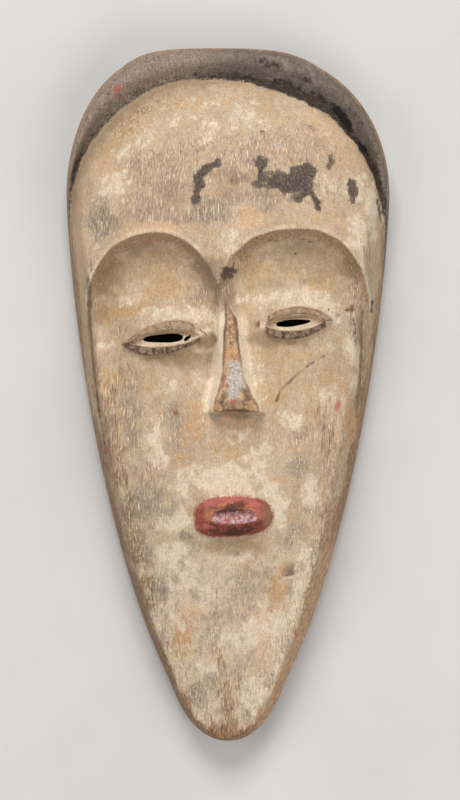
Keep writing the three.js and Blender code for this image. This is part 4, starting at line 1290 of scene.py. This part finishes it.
# Stains in painting order, some of them painted shade or painted light: the stored share, the colour, the
# noise that breaks the edge, how far it moves the edge, how soft the edge is, and how strong the stain is
CLAY_STAINS = (
    ("peach", (218, 178, 142), "flake", 2, 0.4, 0.75),
    ("ochre", (194, 150, 104), "flake", 2, 0.4, 0.85),
    ("mauve", "mauve", "streak", 2, 0.35, 0.9),
    # pale: pale clay, in places painted light as noted at its patches
    ("pale", (230, 211, 184), "patchy", 2.4, 0.32, 0.8),
    ("grey", "grey", "fibre", 2.2, 0.3, 0.9),
    ("brown", "brown", "streak", 2.2, 0.35, 0.85),
    # dusk: darker paint, painted shade at the nose's root
    ("dusk", (150, 126, 106), "flake", 1.1, 0.5, 0.85),
    # olive: mostly painted shade, partly olive stain, as noted at its patches
    ("olive", (138, 112, 80), "speck", 1.4, 0.45, 0.85),
)
FACE_STAINS = (
    ("wood", "timber", "streak", 2, 0.35, 1),
    # shade is painted shade below the brows. scoop is bare wood with painted shade on the walls under them
    ("shade", (158, 134, 104), "patchy", 1.4, 0.6, 0.6),
    ("scoop", "scoop", "patchy", 1.2, 0.5, 0.9),
    ("lid", "upper lid", "speck", 0.8, 0.3, 0.95),
    ("low_lid", "lower lid", "speck", 0.8, 0.3, 1),
    ("nose", "nose", "patchy", 0.9, 0.4, 0.9),
    ("nose_edge", (112, 80, 72), "flake", 2, 0.4, 0.85),
    # nose_side: pale clay on the nose's sides, brightened as painted light
    ("nose_side", (255, 234, 204), "patchy", 0.8, 0.5, 0.98),
    ("amber", (198, 152, 108), "speck", 1.2, 0.45, 0.8),
    ("chalk", "chalk", "patchy", 1, 0.45, 0.95),
    ("tip", (108, 82, 58), "patchy", 0.8, 0.4, 0.9),
    ("crest", "crest", "ragged", 1.5, 0.12, 1),
    ("dark", (52, 41, 32), "flake", 2.2, 0.3, 0.92),
    ("pitch", (36, 29, 25), "grit", 1.4, 0.35, 0.97),
    ("crest_edge", (172, 134, 96), "patchy", 2.4, 0.5, 0.6),
    # worn: pale worn brow edge, partly a painted highlight
    ("worn", (230, 208, 178), "patchy", 1.2, 0.45, 0.85),
    ("crack", (108, 84, 64), "speck", 1.4, 0.4, 0.8),
    ("soot", "soot", "grit", 2.6, 0.4, 0.95),
    ("red", (176, 92, 74), "speck", 1.6, 0.4, 0.8),
    ("lips", "lips", "grit", 2.6, 0.25, 1),
)
LIP_STAINS = (
    ("lip_rim", "lip paint", "speck", 1.8, 0.45, 0.8),
    ("crimson", (194, 108, 100), "grit", 2.2, 0.35, 0.85),
    ("bare", (152, 112, 84), "grit", 1.8, 0.45, 0.8),
    ("umber", (72, 44, 34), "speck", 1.4, 0.45, 0.85),
    ("mouth", "mouth", "grit", 2, 0.4, 0.92),
    # The dark line under the upper lip is painted shadow
    ("lip_shadow_line", (60, 38, 32), "patchy", 1.2, 0.4, 0.8),
)
STAIN_START = 0.25

# Unevenness of brightness over every kind of paint
BRIGHTNESS = -0.28
BRIGHTNESS_NOISE = {"speck": 0.9, "grit": 0.8, "fibre": 0.6, "patchy": 0.3}

# Surface
ROUGHNESS = {"speck": 0.3, "to": 1.2, "paint": 0.92, "bare": 0.62}
SPECULAR = 0.3
LUMPS = {"strength": 0.5, "distance": 0.5 * MM}
RELIEF = {"streak": 0.6, "speck": 0.35, "strength": 0.6, "distance": 0.3 * MM}


class Shader:
    """A material's nodes, with short ways to add the ones used here."""

    def __init__(self, name):
        self.material = bpy.data.materials.new(name)
        self.material.use_nodes = True
        self.tree = self.material.node_tree
        self.surface = self.tree.nodes["Principled BSDF"]
        self.place = self.add("ShaderNodeTexCoord").outputs["Object"]

    def add(self, kind, inputs=(), **settings):
        node = self.tree.nodes.new(kind)
        for key, value in settings.items():
            setattr(node, key, value)
        for key, value in dict(inputs).items():
            self.put(node.inputs[key], value)
        return node

    def put(self, socket, value):
        if isinstance(value, bpy.types.NodeSocket):
            self.tree.links.new(value, socket)
        else:
            socket.default_value = value

    def grain(self, lumps, detail, roughness, shift):
        """Noise about 0.5 with lumps of that size, in millimetres along X, Y and Z."""
        scale = tuple(1 / (size * MM) for size in lumps)
        inputs = {"Vector": self.place, "Scale": scale, "Location": (shift,) * 3}
        place = self.add("ShaderNodeMapping", inputs).outputs[0]
        inputs = {"Vector": place, "Scale": 1, "Detail": detail, "Roughness": roughness}
        return self.add("ShaderNodeTexNoise", inputs).outputs[0]

    def share(self, name):
        return self.add("ShaderNodeAttribute", attribute_name=name).outputs["Fac"]

    def math(self, operation, a, b=0.0, c=0.0):
        return self.add("ShaderNodeMath", {0: a, 1: b, 2: c}, operation=operation).outputs[0]

    def ramp(self, value, start, end, low=0.0, high=1.0):
        inputs = {"Value": value, "From Min": start, "From Max": end, "To Min": low, "To Max": high}
        return self.add("ShaderNodeMapRange", inputs, interpolation_type="SMOOTHSTEP").outputs[0]

    def mix(self, share, below, above):
        node = self.add("ShaderNodeMix", data_type="RGBA")
        for index, value in ((0, share), (6, below), (7, above)):
            self.put(node.inputs[index], (*value, 1) if isinstance(value, tuple) else value)
        return node.outputs[2]


class PaintShader(Shader):
    """A shader that knows the noises and colours of the mask's paint by name."""

    def __init__(self, name, paint):
        super().__init__(name)
        self.noises = {noise: self.grain(*settings) for noise, settings in GRAINS.items()}
        broad, patchy = self.noises["broad"], self.noises["patchy"]
        weave = [self.math("MULTIPLY", self.noises[noise], WEAVE_SHARE) for noise in ("fibre", "cross")]
        self.noises["weave"] = self.math("ADD", *weave)
        self.noises["lumpy"] = self.math("MULTIPLY_ADD", broad, BROAD_SHARE, patchy)
        self.noises["blotch"] = self.math("ADD", patchy, broad)
        self.colours = {
            "clay paint": tuple(paint.clay), "tan paint": tuple(paint.tan), "wood paint": tuple(paint.wood),
            "crest paint": tuple(paint.crest), "lip paint": tuple(paint.lips),
        }
        for tone, (noise, start, end, before, after) in TONES.items():
            share = self.ramp(self.noises[noise], start, end)
            self.colours[tone] = self.mix(share, self.colour(before), self.colour(after))

    def colour(self, value):
        """A colour by its name or its levels."""
        return self.colours[value] if isinstance(value, str) else linear(*value)

    def mask(self, name):
        """The mask of that name, from 0 to 1."""
        noise, start, end = MASKS[name]
        return self.ramp(self.noises[noise], start, end)

    def fleck(self, below, name):
        """Mixes in the flecks of that name."""
        noise, start, end, most, colour = FLECKS[name]
        return self.mix(self.ramp(self.noises[noise], start, end, 0, most), below, self.colour(colour))

    def layer(self, below, name, share):
        """Mixes in the colour of a layer where a share is high."""
        most, colour = LAYERS[name]
        return self.mix(self.math("MULTIPLY", share, most), below, self.colour(colour))

    def stain(self, below, stains):
        """Mixes in colours where stored shares are high, each with an edge broken up by noise."""
        for name, colour, noise, spread, soft, most in stains:
            share = self.share(name)
            edge = self.math("MULTIPLY_ADD", self.noises[noise], spread, -0.5 * spread)
            cover = self.ramp(self.math("ADD", share, edge), 0.5 - soft, 0.5 + soft, 0, most)
            cover = self.math("MULTIPLY", cover, self.ramp(share, 0, STAIN_START))
            below = self.mix(cover, below, self.colour(colour))
        return below


def clay_coat(s):
    """Clay with its stains, some of them painted shade or painted light, small specks, grain lines near the
    sides and scratches where it is thin.
    """
    chin, margin = s.share("chin"), s.share("margin")
    coat = s.fleck(s.colours["clay"], "warm clay")
    coat = s.layer(coat, "chin", chin)
    coat = s.layer(coat, "greyed", s.math("MULTIPLY", s.mask("greyed"), s.math("ADD", chin, 1)))
    coat = s.stain(coat, CLAY_STAINS)
    coat = s.layer(coat, "specks", s.math("MULTIPLY", s.mask("specks"), s.mask("speck places")))
    coat = s.fleck(coat, "pale specks")
    coat = s.layer(coat, "lines", s.math("MULTIPLY", s.mask("lines"), margin))
    thin = s.math("MULTIPLY", margin, THIN_PAINT["margin"])
    for name in ("grey", "mauve", "brown"):
        thin = s.math("MAXIMUM", thin, s.share(name))
    thin = s.ramp(thin, THIN_PAINT["from"], THIN_PAINT["to"])
    return s.layer(coat, "scratches", s.math("MULTIPLY", s.mask("scratches"), thin))


def crest_colour(s):
    """Grey crest paint, tan on the left, with blotches and specks."""
    band = s.fleck(s.fleck(s.colours["crest"], "pale crest"), "brown crest")
    band = s.layer(band, "tan_band", s.share("tan_band"))
    return s.fleck(s.fleck(band, "dark crest specks"), "pale crest specks")


def lip_colour(s):
    """Red paint of both lips, and the opening between them, with stains and specks."""
    lips = s.layer(s.colours["upper lip"], "low_lip", s.share("low_lip"))
    lips = s.stain(lips, LIP_STAINS)
    return s.fleck(s.fleck(lips, "dark lip specks"), "pale lip specks")


def painted_wood(paint):
    s = PaintShader(SLOT, paint)
    timber = s.fleck(s.colours["timber"], "pale wood")
    # The right side planes get the lighter timber as painted light
    s.colours["timber"] = s.mix(s.share("right_plane"), timber, s.colours["lit timber"])
    s.colours["lower lid"] = s.fleck(s.colours["lower lid"], "pale lid")
    s.colours["crest"] = crest_colour(s)
    s.colours["lips"] = lip_colour(s)
    coat = s.stain(clay_coat(s), FACE_STAINS)
    coat = s.mix(s.share("back"), coat, s.colours["back"])

    brightness = BRIGHTNESS
    for noise, share in BRIGHTNESS_NOISE.items():
        brightness = s.math("MULTIPLY_ADD", s.noises[noise], share, brightness)
    shaded = s.add("ShaderNodeVectorMath", {0: coat, "Scale": brightness}, operation="SCALE")
    s.put(s.surface.inputs["Base Color"], shaded.outputs[0])

    speck, streak = s.noises["speck"], s.noises["streak"]
    bare = s.math("MAXIMUM", s.share("wood"), s.share("crest"))
    bare = s.math("MULTIPLY_ADD", speck, ROUGHNESS["speck"], bare)
    roughness = s.ramp(bare, 0, ROUGHNESS["to"], ROUGHNESS["paint"], ROUGHNESS["bare"])
    s.put(s.surface.inputs["Roughness"], roughness)
    s.surface.inputs["Specular IOR Level"].default_value = SPECULAR

    inputs = {"Height": s.noises["patchy"], "Strength": LUMPS["strength"], "Distance": LUMPS["distance"]}
    lumps = s.add("ShaderNodeBump", inputs).outputs[0]
    height = s.math("MULTIPLY_ADD", streak, RELIEF["streak"], s.math("MULTIPLY", speck, RELIEF["speck"]))
    inputs = {"Height": height, "Strength": RELIEF["strength"], "Distance": RELIEF["distance"]}
    relief = s.add("ShaderNodeBump", {**inputs, "Normal": lumps}).outputs[0]
    s.put(s.surface.inputs["Normal"], relief)
    return s.material


class MASK_OT_carve(bpy.types.Operator):
    """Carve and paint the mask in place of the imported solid."""

    bl_idname = "mask.carve"
    bl_label = "Carve mask"

    def execute(self, context):
        carving, paint = context.scene.mask_carving, context.scene.mask_paint
        piece = build_mask(carving)
        points = np.empty(len(piece.data.vertices) * 3)
        piece.data.vertices.foreach_get("co", points)
        x, y, z = points.reshape(-1, 3).T / MM
        store_shares(piece, paint_shares(x, y, z, carving.facets / MM))
        piece.data.materials.clear()
        piece.data.materials.append(painted_wood(paint))
        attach(piece, "root")
        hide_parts(NODE)
        return {"FINISHED"}


# Stage

SENSOR = 36
VIEW_CENTRE = (0.6 * MM, -1.05 * MM)
LAMPS = (
    {"name": "window", "place": (-0.08, 0.8, 0.9), "size": 0.5, "power": 0.93},
    {"name": "fill", "place": (0.4, -0.6, 0.8), "size": 0.8, "power": 0.42},
    {"name": "side", "place": (-0.7, 0, 0.8), "size": 0.6, "power": 0.18},
    {"name": "right", "place": (0.8, 0.15, 0.6), "size": 0.6, "power": 0.07},
)
FLOOR_SIZE = 2
FLOOR_GRAIN = {"lumps": (60, 60, 60), "detail": 3, "roughness": 0.55, "shift": 0}
FLOOR = {"from": 0.3, "to": 0.7, "roughness": 0.9}
FLOOR_COLOURS = ((214, 212, 208), (220, 218, 214))
SKY = {"colour": (0.85, 0.88, 0.92, 1), "strength": 0.25}


class MASK_OT_stage(bpy.types.Operator):
    """Set the camera above the mask, with a plain floor and soft lamps."""

    bl_idname = "mask.stage"
    bl_label = "Set stage"

    def execute(self, context):
        stage = context.scene.mask_stage
        self.add_floor()
        self.add_camera(context, stage)
        for lamp in LAMPS:
            self.add_lamp(context, lamp, stage.light)
        self.add_sky(context)
        return {"FINISHED"}

    def add_floor(self):
        bm = bmesh.new()
        bmesh.ops.create_grid(bm, x_segments=1, y_segments=1, size=FLOOR_SIZE)
        floor = new_object("floor", bm)
        s = Shader("plain_floor")
        tone = s.ramp(s.grain(**FLOOR_GRAIN), FLOOR["from"], FLOOR["to"])
        colours = (linear(*levels) for levels in FLOOR_COLOURS)
        s.put(s.surface.inputs["Base Color"], s.mix(tone, *colours))
        s.surface.inputs["Roughness"].default_value = FLOOR["roughness"]
        floor.data.materials.append(s.material)

    def add_camera(self, context, stage):
        camera = bpy.data.cameras.new("camera")
        camera.sensor_width = SENSOR
        camera.lens = SENSOR * stage.distance / stage.view_height
        holder = bpy.data.objects.new("camera", camera)
        holder.location = (*VIEW_CENTRE, stage.distance)
        context.scene.collection.objects.link(holder)
        context.scene.camera = holder

    def add_lamp(self, context, lamp, power):
        light = bpy.data.lights.new(lamp["name"], "AREA")
        light.size = lamp["size"]
        light.energy = power * lamp["power"]
        holder = bpy.data.objects.new(lamp["name"], light)
        holder.location = lamp["place"]
        holder.rotation_euler = (-Vector(lamp["place"])).to_track_quat("-Z", "Y").to_euler()
        context.scene.collection.objects.link(holder)

    def add_sky(self, context):
        world = bpy.data.worlds.new("sky")
        world.use_nodes = True
        sky = world.node_tree.nodes["Background"]
        sky.inputs["Color"].default_value = SKY["colour"]
        sky.inputs["Strength"].default_value = SKY["strength"]
        context.scene.world = world
        context.scene.view_settings.view_transform = "Standard"


class MASK_PT_panel(bpy.types.Panel):
    """The mask's settings and the buttons that build it."""

    bl_label = "Carved mask"
    bl_idname = "MASK_PT_panel"
    bl_space_type = "VIEW_3D"
    bl_region_type = "UI"
    bl_category = "Mask"

    def draw(self, context):
        for group in ("mask_carving", "mask_paint", "mask_stage"):
            settings = getattr(context.scene, group)
            box = self.layout.box()
            for name in settings.__annotations__:
                box.prop(settings, name)
        for operator in (MASK_OT_carve, MASK_OT_stage):
            self.layout.operator(operator.bl_idname)


CLASSES = (MaskCarving, MaskPaint, MaskStage, MASK_OT_carve, MASK_OT_stage, MASK_PT_panel)


def register():
    for cls in CLASSES:
        bpy.utils.register_class(cls)
    bpy.types.Scene.mask_carving = bpy.props.PointerProperty(type=MaskCarving)
    bpy.types.Scene.mask_paint = bpy.props.PointerProperty(type=MaskPaint)
    bpy.types.Scene.mask_stage = bpy.props.PointerProperty(type=MaskStage)


def unregister():
    del bpy.types.Scene.mask_stage
    del bpy.types.Scene.mask_paint
    del bpy.types.Scene.mask_carving
    for cls in reversed(CLASSES):
        bpy.utils.unregister_class(cls)


def main():
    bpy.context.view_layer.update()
    register()
    bpy.ops.mask.stage()
    bpy.ops.mask.carve()


if __name__ == "__main__":
    main()
